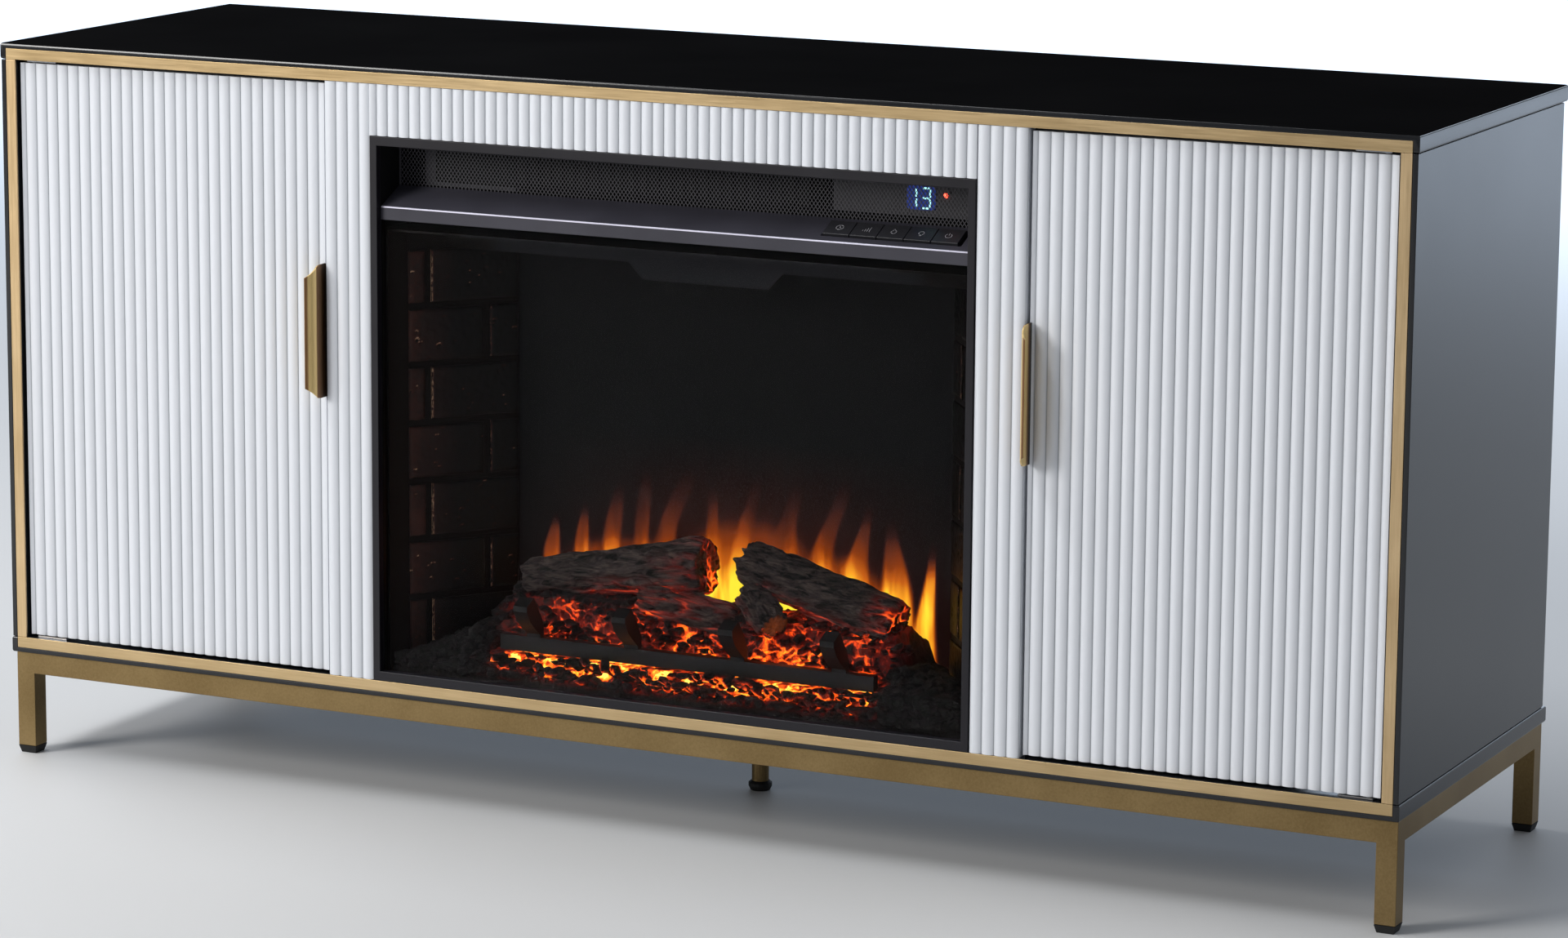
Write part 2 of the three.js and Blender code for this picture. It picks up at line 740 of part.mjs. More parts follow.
function buildBezel() {
  const window = rectangle(insertInnerHalf, windowBottom, windowTop);
  const face = ring(rectangle(bezelHalf, bezelBottom, insertTop), window, front, front + bezelThickness);
  const returnOuter = rectangle(insertInnerHalf + housingSheet,
    windowBottom - housingSheet, windowTop + housingSheet);
  const lip = ring(returnOuter, window, front + bezelThickness / 2, front + bezelThickness + bezelReturn);
  addPart('front_bezel', join(face, lip), materials.greyMetal());
}

// A steel box, open at the front, with brackets that carry the far ends of the blower and the spindle,
// and a gland for the power cord at the back
function buildHousing() {
  const outside = block(-housingOuter, housingOuter, housingFront, housingBack, housingBottom, housingTop);
  const inside = block(-housingInner, housingInner, housingFront - cutOverrun,
    housingBack - housingSheet, housingFloor, housingCeiling);
  const blowerRight = blowerLeft + blowerLength + blowerShaftEnd / 2;
  const blowerBracket = block(blowerRight, blowerRight + bearingPlate,
    blowerY - bearingWidth / 2, blowerY + bearingWidth / 2, blowerHeight - bearingWidth / 2, housingTop);
  const blowerBore = rodAcross(blowerShaftDiameter + seatGap * 2, blowerRight - cutOverrun,
    blowerRight + bearingPlate + cutOverrun, blowerY, blowerHeight);
  const spindleLeft = -spindleHalfLength - blowerShaftEnd / 2;
  const spindleBracket = block(spindleLeft - bearingPlate, spindleLeft,
    spindleY - bearingWidth / 2, spindleY + bearingWidth / 2,
    housingBottom, spindleHeight + bearingWidth / 2);
  const spindleBore = rodAcross(spindleShaftDiameter + seatGap * 2, spindleLeft - bearingPlate - cutOverrun,
    spindleLeft + cutOverrun, spindleY, spindleHeight);
  const middle = (housingFloor + housingCeiling) / 2;
  const vents = [-1, 1].map((row) => {
    const z = middle + row * housingVentSpread;
    return block(-housingVentWidth / 2, housingVentWidth / 2, housingBack - housingSheet * 2,
      housingBack + cutOverrun, z - housingVentHeight / 2, z + housingVentHeight / 2);
  });
  const glandX = housingInner - glandInset;
  const glandZ = housingFloor + glandInset;
  const gland = rodBack(glandDiameter, glandX, housingBack - housingSheet, housingBack + glandLength, glandZ);
  const glandMouth = rodBack(glandBore, glandX, housingBack + glandLength / 2,
    housingBack + glandLength + cutOverrun, glandZ, smallRoundSides);
  const shell = join(cut(outside, inside, ...vents), gland, blowerBracket, spindleBracket);
  addPart('firebox_housing', cut(shell, glandMouth, blowerBore, spindleBore),
    materials.blackMetal());
}

// Control hood with its row of keys

const hoodHalf = insertInnerHalf - seatGap;
const hoodEdgeY = front + hoodFrontDepth;
const keyRowLength = keyCount * (keyWidth + keyGap) - keyGap;
const keyRowLeft = hoodHalf - keyRowEndInset - keyRowLength;

// Places a piece that is built with its top on z = 0 and its front edge on y = 0 onto the sloping hood
function onHood(geometry, alongSlope, above) {
  geometry.translate(0, alongSlope, above);
  return geometry.rotateX(hoodAngle).translate(0, hoodEdgeY, hoodFlangeTop);
}

function buildHood() {
  const rise = (hoodBackDepth - hoodFrontDepth) * Math.tan(hoodAngle);
  const backY = front + hoodBackDepth;
  const under = hoodSheet / Math.cos(hoodAngle);
  const inner = hoodEdgeY + hoodSheet;
  const outline = [
    [hoodEdgeY, hoodFlangeBottom], [hoodEdgeY, hoodFlangeTop], [backY, hoodFlangeTop + rise],
    [backY, hoodFlangeTop + rise - under],
    [inner, hoodFlangeTop + hoodSheet * Math.tan(hoodAngle) - under], [inner, hoodFlangeBottom],
  ];
  const sheet = prismAcross(outline, -hoodHalf, hoodHalf);
  const left = keyRowLeft - seatGap;
  const right = keyRowLeft + keyRowLength + keySlotRight;
  const pocketFront = keyRowFromEdge - keySlotFront;
  const pocketBack = keyRowFromEdge + keyLength + seatGap;
  const pocketDepth = keyHeight - keyProud + keyTravel + seatGap;
  const wall = hoodSheet;
  const tray = onHood(block(left - wall, right + wall, pocketFront - wall, pocketBack + wall,
    -pocketDepth - wall, -hoodSheet / 2), 0, 0);
  const pocket = onHood(block(left, right, pocketFront, pocketBack, -pocketDepth, cutOverrun), 0, 0);
  addPart('control_hood', cut(join(sheet, tray), pocket), materials.greyMetal());
}

function buildKeys() {
  const names = ['timer_key', 'heat_key', 'flame_key', 'light_key', 'power_key'];
  names.forEach((name, index) => {
    const x0 = keyRowLeft + index * (keyWidth + keyGap);
    const cap = block(x0, x0 + keyWidth, 0, keyLength, -keyHeight, 0);
    addPart(name, onHood(cap, keyRowFromEdge, keyProud), materials.key());
  });
}

const grilleFront = front + hoodBackDepth + seatGap;
const grilleBack = grilleFront + grilleThickness;
const hoodBackTop = hoodFlangeTop + (hoodBackDepth - hoodFrontDepth) * Math.tan(hoodAngle);

// A flat plate of diamond holes that stands behind the hood
function buildGrille() {
  const bottom = hoodBackTop - hoodSheet * 2;
  const top = housingCeiling - seatGap;
  const plate = shapeOf(rectangle(hoodHalf, bottom, top));
  const reach = grilleHolePitch * grilleHoleShare / 2;
  const columns = Math.floor(hoodHalf * 2 / grilleHolePitch) - 1;
  const rowPitch = (top - hoodBackTop) / grilleRows;
  for (let row = 0; row < grilleRows; row += 1) {
    for (let column = 0; column < columns; column += 1) {
      const x = (column - (columns - 1) / 2) * grilleHolePitch;
      const z = hoodBackTop + (row + 1 / 2) * rowPitch;
      const tall = rowPitch * grilleHoleShare / 2;
      const points = [[x - reach, z], [x, z - tall], [x + reach, z], [x, z + tall]];
      plate.holes.push(new THREE.Path(points.map(([u, v]) => new THREE.Vector2(u, v))));
    }
  }
  addPart('outlet_grille', prismBack(plate, grilleFront, grilleBack), materials.blackMetal());
}

// A board behind the grille with two digits and a lamp on its face
function buildDisplay() {
  const right = insertInnerHalf - seatGap;
  const left = right - displayWidth;
  const faceY = grilleBack + seatGap + digitProud;
  const top = housingCeiling - seatGap;
  const board = block(left, right, faceY, faceY + displayDepth, top - displayHeight, top);
  const digitTop = top - digitFromTop;
  const digitLeft = right - digitsFromEnd;
  const digits = [0, 1].map((index) => {
    const x0 = digitLeft + index * digitPitch;
    return block(x0, x0 + digitWidth, faceY - digitProud, faceY + digitProud,
      digitTop - digitHeight, digitTop);
  });
  const lampX = digitLeft + digitPitch * 2 + digitWidth;
  const lamp = rodBack(digitWidth / 2, lampX, faceY - digitProud, faceY + digitProud,
    digitTop - digitWidth / 2, smallRoundSides);
  addPart('display_module', join(board, ...digits, lamp), materials.display());
}

// Blower and heater, in the top of the housing

function buildBlower() {
  const right = blowerLeft + blowerLength;
  const shaft = rodAcross(blowerShaftDiameter, blowerLeft - motorShaftEntry,
    right + blowerShaftEnd, blowerY, blowerHeight);
  const hub = rodAcross(blowerHubDiameter, blowerLeft, right, blowerY, blowerHeight);
  const blades = Array.from({ length: blowerBlades / 2 }, (_, index) => {
    const blade = block(blowerLeft, right, -blowerDiameter / 2, blowerDiameter / 2,
      -blowerBladeThickness / 2, blowerBladeThickness / 2);
    return blade.rotateX(index * Math.PI * 2 / blowerBlades).translate(0, blowerY, blowerHeight);
  });
  addPart('blower_wheel', join(shaft, hub, ...blades), materials.steel());

  const motorRight = blowerLeft - seatGap * 2;
  const half = blowerDiameter / 2;
  const box = block(motorRight - blowerMotorLength, motorRight, grilleBack + seatGap,
    blowerY + half, blowerHeight - half, housingCeiling - seatGap);
  const bore = rodAcross(blowerShaftDiameter + seatGap * 2, motorRight - motorShaftEntry - cutOverrun,
    motorRight + cutOverrun, blowerY, blowerHeight);
  addPart('blower_motor', cut(box, bore), materials.blackMetal());
}

function buildHeater() {
  const right = blowerLeft + blowerLength;
  const y0 = grilleBack + seatGap;
  const top = housingCeiling - seatGap;
  const body = block(blowerLeft, right, y0, y0 + heaterDepth, top - heaterHeight, top);
  const pitch = blowerLength / heaterFins;
  const slots = Array.from({ length: heaterFins - 1 }, (_, index) => {
    const x = blowerLeft + (index + 1) * pitch;
    const half = pitch * heaterFinShare / 2;
    return block(x - half, x + half, y0 - cutOverrun, y0 + heaterFinDepth,
      top - heaterHeight - cutOverrun, top - heaterFinDepth);
  });
  addPart('heater_element', cut(body, ...slots), materials.steel());
}

// Firebox

const linerFrontY = front + linerFrontDepth;
const linerBendY = front + linerBendDepth;
const linerBackY = front + linerBackDepth;
const linerFrontHalf = housingInner - seatGap;
const linerBackOuter = linerBackHalfWidth + linerSheet;

// Raised bricks in running bond on the slanted part of a wall
function wallBricks(side) {
  const rows = Math.floor((linerTop - linerBottom - brickFromBottom) / brickPitch);
  const run = linerBackY - linerBendY;
  const inward = linerFrontHalf - linerSheet - linerBackHalfWidth;
  const length = Math.hypot(run, inward);
  const turn = Math.atan2(run, -side * inward);
  const bricks = [];
  for (let row = 0; row < rows; row += 1) {
    const z0 = linerBottom + brickFromBottom + row * brickPitch;
    const joint = row % 2 === 0 ? brickHalfJoint : brickHalfJoint + brickLength / 2;
    const edges = [0, joint, length];
    for (let index = 0; index < edges.length - 1; index += 1) {
      const along0 = edges[index] + (index > 0 ? brickJoint : brickProud);
      const along1 = edges[index + 1] - (index < edges.length - 2 ? 0 : brickProud);
      const half = brickProud;
      const brick = block(along0, along1, -half, half, z0, z0 + brickPitch - brickJoint);
      brick.rotateZ(turn).translate(side * (linerFrontHalf - linerSheet), linerBendY, 0);
      bricks.push(brick);
    }
  }
  return bricks;
}

function linerWall(side) {
  const outer = linerFrontHalf;
  const inner = linerFrontHalf - linerSheet;
  const outline = [
    [side * outer, linerFrontY], [side * outer, linerBendY],
    [side * linerBackOuter, linerBackY], [side * linerBackHalfWidth, linerBackY],
    [side * inner, linerBendY], [side * inner, linerFrontY],
  ];
  return prismUp(outline, linerBottom, linerTop);
}

// Side walls, top sheet and hanging valance of the firebox, folded from one sheet
function buildLiner() {
  const seam = linerSheet / 2;
  const roofFront = linerFrontHalf - seam;
  const roofBack = linerBackOuter - seam;
  const roofOutline = [
    [-roofFront, linerFrontY + seam], [roofFront, linerFrontY + seam], [roofFront, linerBendY],
    [roofBack, linerBackY - seam], [-roofBack, linerBackY - seam], [-roofFront, linerBendY],
  ];
  const roof = prismUp(roofOutline, linerTop - seam - linerSheet, linerTop - seam);
  const valanceY = front + valanceDepth;
  const share = (valanceDepth - linerBendDepth) / (linerBackDepth - linerBendDepth);
  const wallFace = linerFrontHalf - linerSheet;
  const half = wallFace - share * (wallFace - linerBackHalfWidth) + seam / 4;
  const tab = valanceTabHalfWidth;
  const valanceBottom = linerTop - valanceHeight;
  const tabBottom = valanceBottom - valanceTabDrop;
  const valanceOutline = [
    [-half, valanceBottom], [-tab, valanceBottom], [-tab + valanceTabCorner, tabBottom],
    [tab - valanceTabCorner, tabBottom], [tab, valanceBottom], [half, valanceBottom],
    [half, linerTop - linerSheet], [-half, linerTop - linerSheet],
  ];
  const valance = prismBack(shapeOf(valanceOutline), valanceY, valanceY + linerSheet);
  const walls = [-1, 1].flatMap((side) => [linerWall(side), ...wallBricks(side)]);
  addPart('firebox_liner', join(...walls, roof, valance), materials.brick());
}

function buildScreenAndGlass() {
  const y0 = linerBackY + seatGap;
  addPart('flame_screen', block(-linerBackHalfWidth - screenMargin, linerBackHalfWidth + screenMargin,
    y0, y0 + screenThickness, housingFloor + seatGap, linerTop), materials.screen());
  const glassFront = front + glassFrontDepth;
  const half = housingInner - seatGap;
  addPart('front_glass', block(-half, half, glassFront, glassFront + glassThickness,
    housingFloor + seatGap, hoodFlangeTop - glassTopGap), materials.glass());
}

// A log: a tapered rod between two points
function logBetween(from, to, fromRadius, toRadius, sides = smallRoundSides) {
  const start = new THREE.Vector3(...from);
  const end = new THREE.Vector3(...to);
  const along = end.clone().sub(start);
  const geometry = new THREE.CylinderGeometry(toRadius, fromRadius, along.length(), sides, 3);
  const upright = new THREE.Vector3(0, 1, 0);
  const turn = new THREE.Quaternion().setFromUnitVectors(upright, along.clone().normalize());
  return geometry.applyQuaternion(turn).translate(...start.add(end).divideScalar(2).toArray());
}

const bedBottom = housingFloor + seatGap;
const grateSeat = grateBarBottom - seatGap;

// The ember bed's top, behind the grate, in shares of the firebox's depth and of the log radius
const moundShares = [
  { depth: 0.54, height: 2.78 },
  { depth: 0.76, height: 3.08 },
  { depth: 0.97, height: 2.26 },
];

// Each log's two ends, in shares of the firebox's half width, of its depth and of the log radius
const logShares = [
  { from: [-0.85, 0.672, 3.29], to: [-0.02, 0.7, 4.28], fromRadius: 0.65, toRadius: 1 },
  { from: [0.16, 0.7, 4.59], to: [0.85, 0.672, 2.9], fromRadius: 0.8, toRadius: 0.95 },
  { from: [-0.275, 0.56, 3.2], to: [0.156, 0.58, 2.57], fromRadius: 0.6, toRadius: 0.63 },
  { from: [0.372, 0.44, 2.83], to: [0.206, 0.62, 3.61], fromRadius: 0.52, toRadius: 0.63 },
];

// Ember bed and logs, moulded in one piece, hollow underneath for the light board
function buildLogs() {
  const profile = [
    [front + bedFront, bedBottom],
    [front + bedFront, bedBottom + bedSill],
    [front + grateDepth - bedLedge, grateSeat],
    [front + grateDepth + grateBarThickness + bedLedge, grateSeat],
    ...moundShares.map(({ depth, height }) =>
      [front + depth * linerBackDepth, housingFloor + height * logRadius]),
    [front + moundShares.at(-1).depth * linerBackDepth, bedBottom],
  ];
  const bed = prismAcross(profile, -housingInner, housingInner);
  const edge = housingInner + cutOverrun;
  const wallZ = housingFloor + bedWallRise;
  const shoulderZ = housingFloor + bedShoulderRise;
  const crown = prismBack(shapeOf([
    [-edge, housingBottom], [edge, housingBottom], [edge, wallZ], [bedShoulderHalfWidth, shoulderZ],
    [bedCrownHalfWidth, linerTop], [-bedCrownHalfWidth, linerTop], [-bedShoulderHalfWidth, shoulderZ],
    [-edge, wallZ],
  ]), front, back);
  const wallX = linerFrontHalf - linerSheet - bedSideGap;
  const backX = linerBackHalfWidth - bedSideGap * 2;
  const outline = [
    [-wallX, front], [wallX, front], [wallX, linerBendY], [backX, linerBackY],
    [-backX, linerBackY], [-wallX, linerBendY],
  ];
  const trimmed = common(common(bed, crown), prismUp(outline, bedBottom - cutOverrun, linerTop));
  const hollow = block(-ledBoardHalfWidth - bedSideGap, ledBoardHalfWidth + bedSideGap,
    linerBackY - bedSideGap * 2 - ledBoardDepth, linerBackY, bedBottom - cutOverrun, bedBottom + bedHollow);
  const pieces = logShares.map(({ from, to, fromRadius, toRadius }) => {
    const place = ([x, depth, height]) =>
      [x * linerBackHalfWidth, front + depth * linerBackDepth, housingFloor + height * logRadius];
    return logBetween(place(from), place(to), fromRadius * logRadius, toRadius * logRadius);
  });
  addPart('log_set', join(cut(trimmed, hollow), ...pieces), materials.log());
}

// A claw from the side: forward from the bar's back in shares of its reach, and up in shares of its rise
const clawShares = [
  [0.06, 0], [0.06, 0.35], [0.2, 0.55], [0.41, 0.775], [0.62, 1], [1, 0.865],
  [1, 0.75], [0.82, 0.53], [0.53, 0.33], [0.27, 0.19], [0.23, 0],
];

// The grate: a bar with four claws that lean forward
function buildGrate() {
  const y0 = front + grateDepth;
  const y1 = y0 + grateBarThickness;
  const barTop = grateBarBottom + grateBarHeight;
  const bar = block(-grateHalfLength, grateHalfLength, y0, y1, grateBarBottom, barTop);
  const profile = clawShares.map(([forward, up]) =>
    [y1 - forward * clawReach, barTop - clawSink + up * clawRise]);
  const claws = [-clawOuter, -clawInner, clawInner, clawOuter].map((x) =>
    prismAcross(profile, x - clawWidth / 2, x + clawWidth / 2));
  addPart('grate', join(bar, ...claws), materials.blackMetal());
}

function buildLightBoard() {
  const y1 = linerBackY - bedSideGap;
  addPart('ember_light_board', block(-ledBoardHalfWidth, ledBoardHalfWidth, y1 - ledBoardDepth, y1,
    housingFloor + seatGap, housingFloor + seatGap + ledBoardThickness), materials.board());
}

// A turning rod with bright flags throws moving light onto the flame screen
function buildSpindle() {
  const right = spindleHalfLength;
  const shaft = rodAcross(spindleShaftDiameter, -right - blowerShaftEnd, right + motorShaftEntry,
    spindleY, spindleHeight);
  const pitch = right * 2 / spindleFlags;
  const flags = Array.from({ length: spindleFlags }, (_, index) => {
    const x = -right + (index + 1 / 2) * pitch;
    const flag = block(x - spindleFlagLength / 2, x + spindleFlagLength / 2,
      -spindleFlagReach, spindleFlagReach, -spindleFlagThickness / 2, spindleFlagThickness / 2);
    return flag.rotateX(index * Math.PI / spindleFlags * 4).translate(0, spindleY, spindleHeight);
  });
  addPart('flame_spindle', join(shaft, ...flags), materials.steel());

  const motorLeft = right + seatGap * 2;
  const half = spindleMotorSize / 2;
  const box = block(motorLeft, motorLeft + spindleMotorLength, spindleY - half, spindleY + half,
    housingFloor + seatGap, spindleHeight + half);
  const bore = rodAcross(spindleShaftDiameter + seatGap * 2, motorLeft - cutOverrun,
    motorLeft + motorShaftEntry + cutOverrun, spindleY, spindleHeight);
  addPart('spindle_motor', cut(box, bore), materials.blackMetal());
}

buildSlabs();
buildUprights();
buildBackPanel();
buildTrims();
buildBase();
buildCentreLeg();
buildFixedFronts();
buildDoors();
buildPivots();
buildCatches();
buildBezel();
buildHousing();
buildHood();
buildKeys();
buildGrille();
buildDisplay();
buildBlower();
buildHeater();
buildLiner();
buildScreenAndGlass();
buildLogs();
buildGrate();
buildLightBoard();
buildSpindle();

export default stand;
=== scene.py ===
"""The looks of the fireplace TV stand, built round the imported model. Sizes in tables are in millimetres."""
import json
import math

import bmesh
import bpy
from mathutils import Matrix, Vector, noise


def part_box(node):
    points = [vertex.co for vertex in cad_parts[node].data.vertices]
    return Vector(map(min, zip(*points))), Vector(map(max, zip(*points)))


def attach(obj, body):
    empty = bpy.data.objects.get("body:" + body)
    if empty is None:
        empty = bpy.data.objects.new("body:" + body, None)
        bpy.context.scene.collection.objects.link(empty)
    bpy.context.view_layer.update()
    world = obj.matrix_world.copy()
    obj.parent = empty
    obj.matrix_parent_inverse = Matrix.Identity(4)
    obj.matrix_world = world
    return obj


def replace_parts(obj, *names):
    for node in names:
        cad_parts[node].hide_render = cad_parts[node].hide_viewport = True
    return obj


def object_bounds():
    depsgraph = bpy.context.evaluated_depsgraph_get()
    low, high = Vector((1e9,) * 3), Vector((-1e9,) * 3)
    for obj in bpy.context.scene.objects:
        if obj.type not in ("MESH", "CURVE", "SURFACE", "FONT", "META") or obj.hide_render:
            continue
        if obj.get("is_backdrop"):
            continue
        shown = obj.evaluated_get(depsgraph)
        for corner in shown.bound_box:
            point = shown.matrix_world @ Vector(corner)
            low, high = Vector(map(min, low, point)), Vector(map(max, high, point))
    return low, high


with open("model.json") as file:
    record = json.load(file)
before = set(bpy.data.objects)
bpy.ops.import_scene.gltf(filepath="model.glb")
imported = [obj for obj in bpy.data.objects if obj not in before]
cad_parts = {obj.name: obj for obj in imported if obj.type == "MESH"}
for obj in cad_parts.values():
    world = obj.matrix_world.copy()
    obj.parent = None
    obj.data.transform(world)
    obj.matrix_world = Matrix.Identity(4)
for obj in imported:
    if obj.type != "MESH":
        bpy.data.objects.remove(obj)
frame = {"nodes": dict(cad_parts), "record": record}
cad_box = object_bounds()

MM = 0.001
RECORD = frame["record"]
BODY = {node: body for body, nodes in RECORD["behaviour"]["bodies"].items() for node in nodes}
SLOT = {part["node"]: part["material_slot"] for part in RECORD["subparts"]}

# The camera of the photograph: its place, its right and up directions, and the way it looks from
CAMERA_PLACE = (2.0434, -4.2132, 1.2123)
CAMERA_AXES = ((0.9013, 0.4331, 0.0078), (-0.0894, 0.1685, 0.9816), (0.4238, -0.8855, 0.1906))
CAMERA_LENS, CAMERA_SENSOR, CAMERA_REACH = 120.31, 36.0, 100

# The room: half its floor, its even light, and its lamps with their place, target, width, height, power and colour
FLOOR_HALF = 30.0
ROOM_COLOR, ROOM_STRENGTH = (0.90, 0.94, 1.0, 1), 0.26
LIGHTS = (
    ("key", (-3.1, -3.8, 2.2), (0, 0, 0.35), 1.6, 2.0, 152, (1.0, 0.98, 0.95)),
    ("top", (-1.3, -0.65, 3.3), (0, -0.2, 0.4), 3.2, 0.6, 75, (0.96, 0.98, 1.0)),
    ("behind", (-0.5, 6.4, 1.5), (-0.5, 6.4, 0), 13.0, 5.5, 620, (0.69, 0.82, 1.0)),
)

# How far edges are rounded, and how sharp an edge is rounded
BOARD_ROUNDING, TRIM_ROUNDING, KEY_ROUNDING, HANDLE_ROUNDING = 0.6, 0.3, 0.5, 0.35
ROUNDED_ANGLE = math.radians(25)

# Fluted fronts; reeds reach a little into the board behind them, and the shade grows towards their grooves
REED_DEPTH, REED_STEPS, REED_INSET, REED_BACK = 2.0, 14, 0.05, 0.1
REED_SHADE, REED_SHARP, BOARD_BEHIND = 2.2, math.radians(40), 0.08
DOOR_FRONT, DOOR_PITCH, DOOR_FIRST = -184.0, 11.55, 4.2
FIXED_FRONT, STILE_PITCH = -189.0, 11.625
HEADER_PITCH, HEADER_FIRST = 11.03, 6.7

# Outlet mesh, and the plate with folded edges behind its left end: x and z of its ends
MESH_PITCH, MESH_SLOPE, MESH_WIRE, MESH_THICKNESS, MESH_RIM = 3.7, 1.4, 0.66, 0.5, 1.6
BACKING_PLATE = (-262.0, -170.0, 563.5, 601.0)
BACKING_FRONT, BACKING_FOLD, BACKING_BEND = -146.0, 6.0, 0.8

# Control hood: how far its edges are rounded, how wide and proud the painted highlight strip along its front edge
# is, how far that is sunk along its sides and set in at its ends, and the turns at which its round is drawn
HOOD_ROUNDING, HOOD_HIGHLIGHT, HOOD_PROUD, HOOD_TUCK, HOOD_INSET = 0.7, 0.95, 0.07, 0.1, 0.8
HOOD_TURNS = (30, 45, 60, 75, 88)

# Handles: a flat plate whose lip curls outwards, with its corners cropped over a run
HANDLE_PLATE, HANDLE_CURL, HANDLE_ANGLE = 1.6, 16.0, math.radians(52)
HANDLE_INNER, HANDLE_TIP = 344.2, -211.0
HANDLE_FLAT = (-171.0, -186.0, -189.5, -193.0)
HANDLE_RUN, HANDLE_DROP, HANDLE_STEPS = 14.0, 11.0, 18

# Keys and display: what is lit lies from the right end and the top of the display
KEY_SLOPE = math.radians(24.8)
SYMBOL_SCALE, SYMBOL_LINE, SYMBOL_RELIEF, SUNK = 1.3, 0.42, 0.12, 0.02
DIGITS_FROM_END, DIGIT_PITCH, DIGIT_WIDTH, DIGIT_HEIGHT, DIGIT_FROM_TOP = 75.6, 13.0, 11.0, 18.0, 9.0
DIGIT_LINE, DIGIT_GAP, DIGIT_RELIEF, DIGIT_ARM, DIGIT_RISE = 1.5, 0.9, 0.15, 0.36, 0.24
WINDOW_HALF, WINDOW_RELIEF, WINDOW_SHIFT, WINDOW_STEPS, WINDOW_CORNER = (13.5, 10.5), 0.08, 1, 40, 0.3
LAMP_STEPS, LAMP_RINGS = 24, ((2.2, 0.0), (2.1, 0.15), (1.5, 0.35), (0.7, 0.45))

# Logs: their steps, the rings of their ends, and how ragged and how rounded those are
LOG_STEPS_AROUND, LOG_STEP, LOG_FULL = 96, 2.0, 0.97
LOG_CAP = (0.18, 0.38, 0.6, 0.82)
LOG_TEAR, LOG_RAGGED, LOG_DISH, LOG_END_DROP, LOG_END_RUN = 3.5, 1.6, 2.2, 2.4, 7.0

# The relief of logs: the size of lumps, bark plates, splits and grain across and along a log, and their heights
LUMP, PLATE, SPLIT, GRAIN = (22, 40), (5.5, 26), (4.2, 34), (1.9, 7)
LUMP_SHARE, PLATE_RISE, SPLIT_DEPTH, SPLIT_WIDTH, GRAIN_RISE = 0.12, 2.2, 3.4, 0.22, 0.8

# Flame screen
SCREEN_STEP, FLAME_FOOT, FLAME_TOP = 2.0, 128.0, 340.0

# Flame tongues: base x and z, tip x and z, half width, sway, brightness
TONGUES = (
    (-183, 196, -181, 256, 9.5, -1.5, 0.66), (-152, 200, -151, 270, 8.5, -1.5, 0.70),
    (-121, 208, -116, 292, 11, -2, 0.70), (-90, 212, -88, 308, 10, -2, 0.68), (-66, 220, -44, 312, 15, -4, 0.64),
    (-16, 225, -22, 298, 10, -2, 0.85), (14, 225, 26, 314, 12, -2, 0.85), (52, 220, 64, 306, 16, -2, 0.80),
    (90, 205, 112, 316, 16, -4, 0.82), (126, 200, 134, 296, 12, -3, 0.85), (163, 176, 160, 284, 16, 2, 0.95),
    (195, 122, 195, 268, 12, -3.5, 1.0), (174, 128, 174, 206, 9, 1, 0.35),
)

# The bodies that tongues rise from: centre x and z, half width, half height, brightness
FLAME_BODIES = (
    (20, 214, 60, 50, 0.92), (106, 202, 42, 36, 0.85), (-92, 216, 66, 22, 0.5), (158, 182, 22, 30, 0.7),
)

# How bright a flame is at a height
FLAME_LEVELS = ((128, 1.0), (198, 1.0), (213, 0.88), (232, 0.68), (250, 0.50), (270, 0.33), (290, 0.19),
                (316, 0.06), (338, 0.0))

# Brick walls, laid out as in the liner, the pits in their faces, and the painted highlights along joint edges and
# on the upper rims of pits
WALL_FRONT, WALL_BACK, WALL_BEND, WALL_END = 285.4, 218.0, -139.0, -52.0
BRICK_ROWS, BRICK_FOOT, BRICK_PITCH, BRICK_JOINT = 7, 130.5, 53.8, 6.0
BRICK_LENGTH, BRICK_HALF, BRICK_PROUD, BRICK_STEP = 116.0, 17.0, 2.2, 1.2
BRICK_EDGE, BRICK_DROP, BRICK_HIGHLIGHT, BRICK_GAP = 2.4, 0.9, 1.2, 1.0
PIT_SPACE, PIT_DEPTH, PIT_SIZE, PIT_HIGHLIGHT = 330, 1.1, (1.1, 2.4), 1.3

# Ember bed: profiles of its height over depth and over distance from the middle, and the foot of its front.
# It lies lower under the grate's bar, and coals are kept clear of the bar and of the stub log
BED_PROFILE = ((-174.0, 121.8), (-152.0, 145.2), (-133.0, 145.2), (-115.0, 189.6), (-84.9, 197.7), (-56.1, 175.5))
BED_SIDES = ((0.0, 230.0), (180.0, 220.0), (205.0, 158.0), (290.0, 122.0))
BED_FRONT, BED_BACK, BED_HALF, BED_BACK_HALF, BED_STEP = -174.0, -56.1, 282.9, 213.0, 1.6
BED_FOOT, BED_SUNK = 115.0, 1.5
BAR_PLACE, BAR_HALF, BAR_CLEAR = -142.5, 194, 11
COAL_COUNT, COAL_BACK, COAL_SIDES, COAL_INSET = 1600, -96.0, 200, 8
COAL_HOT, COAL_THIN = 0.3, 0.45
STUB_PLACE, STUB_HALF, STUB_FRONT = 82.0, 17.0, -139.0

# How the patterns of brushed metal are stretched, and the range in which a noise pattern mostly lies
ALONG, UPRIGHT = (0.03, 1, 1), (1, 1, 0.03)
MIDDLE = (0.3, 0.7)


def srgb(red, green, blue):
    """A colour given as the numbers of a picture, 0 to 255"""
    def linear(value):
        share = value / 255
        return share / 12.92 if share <= 0.04045 else ((share + 0.055) / 1.055) ** 2.4
    return (linear(red), linear(green), linear(blue), 1.0)


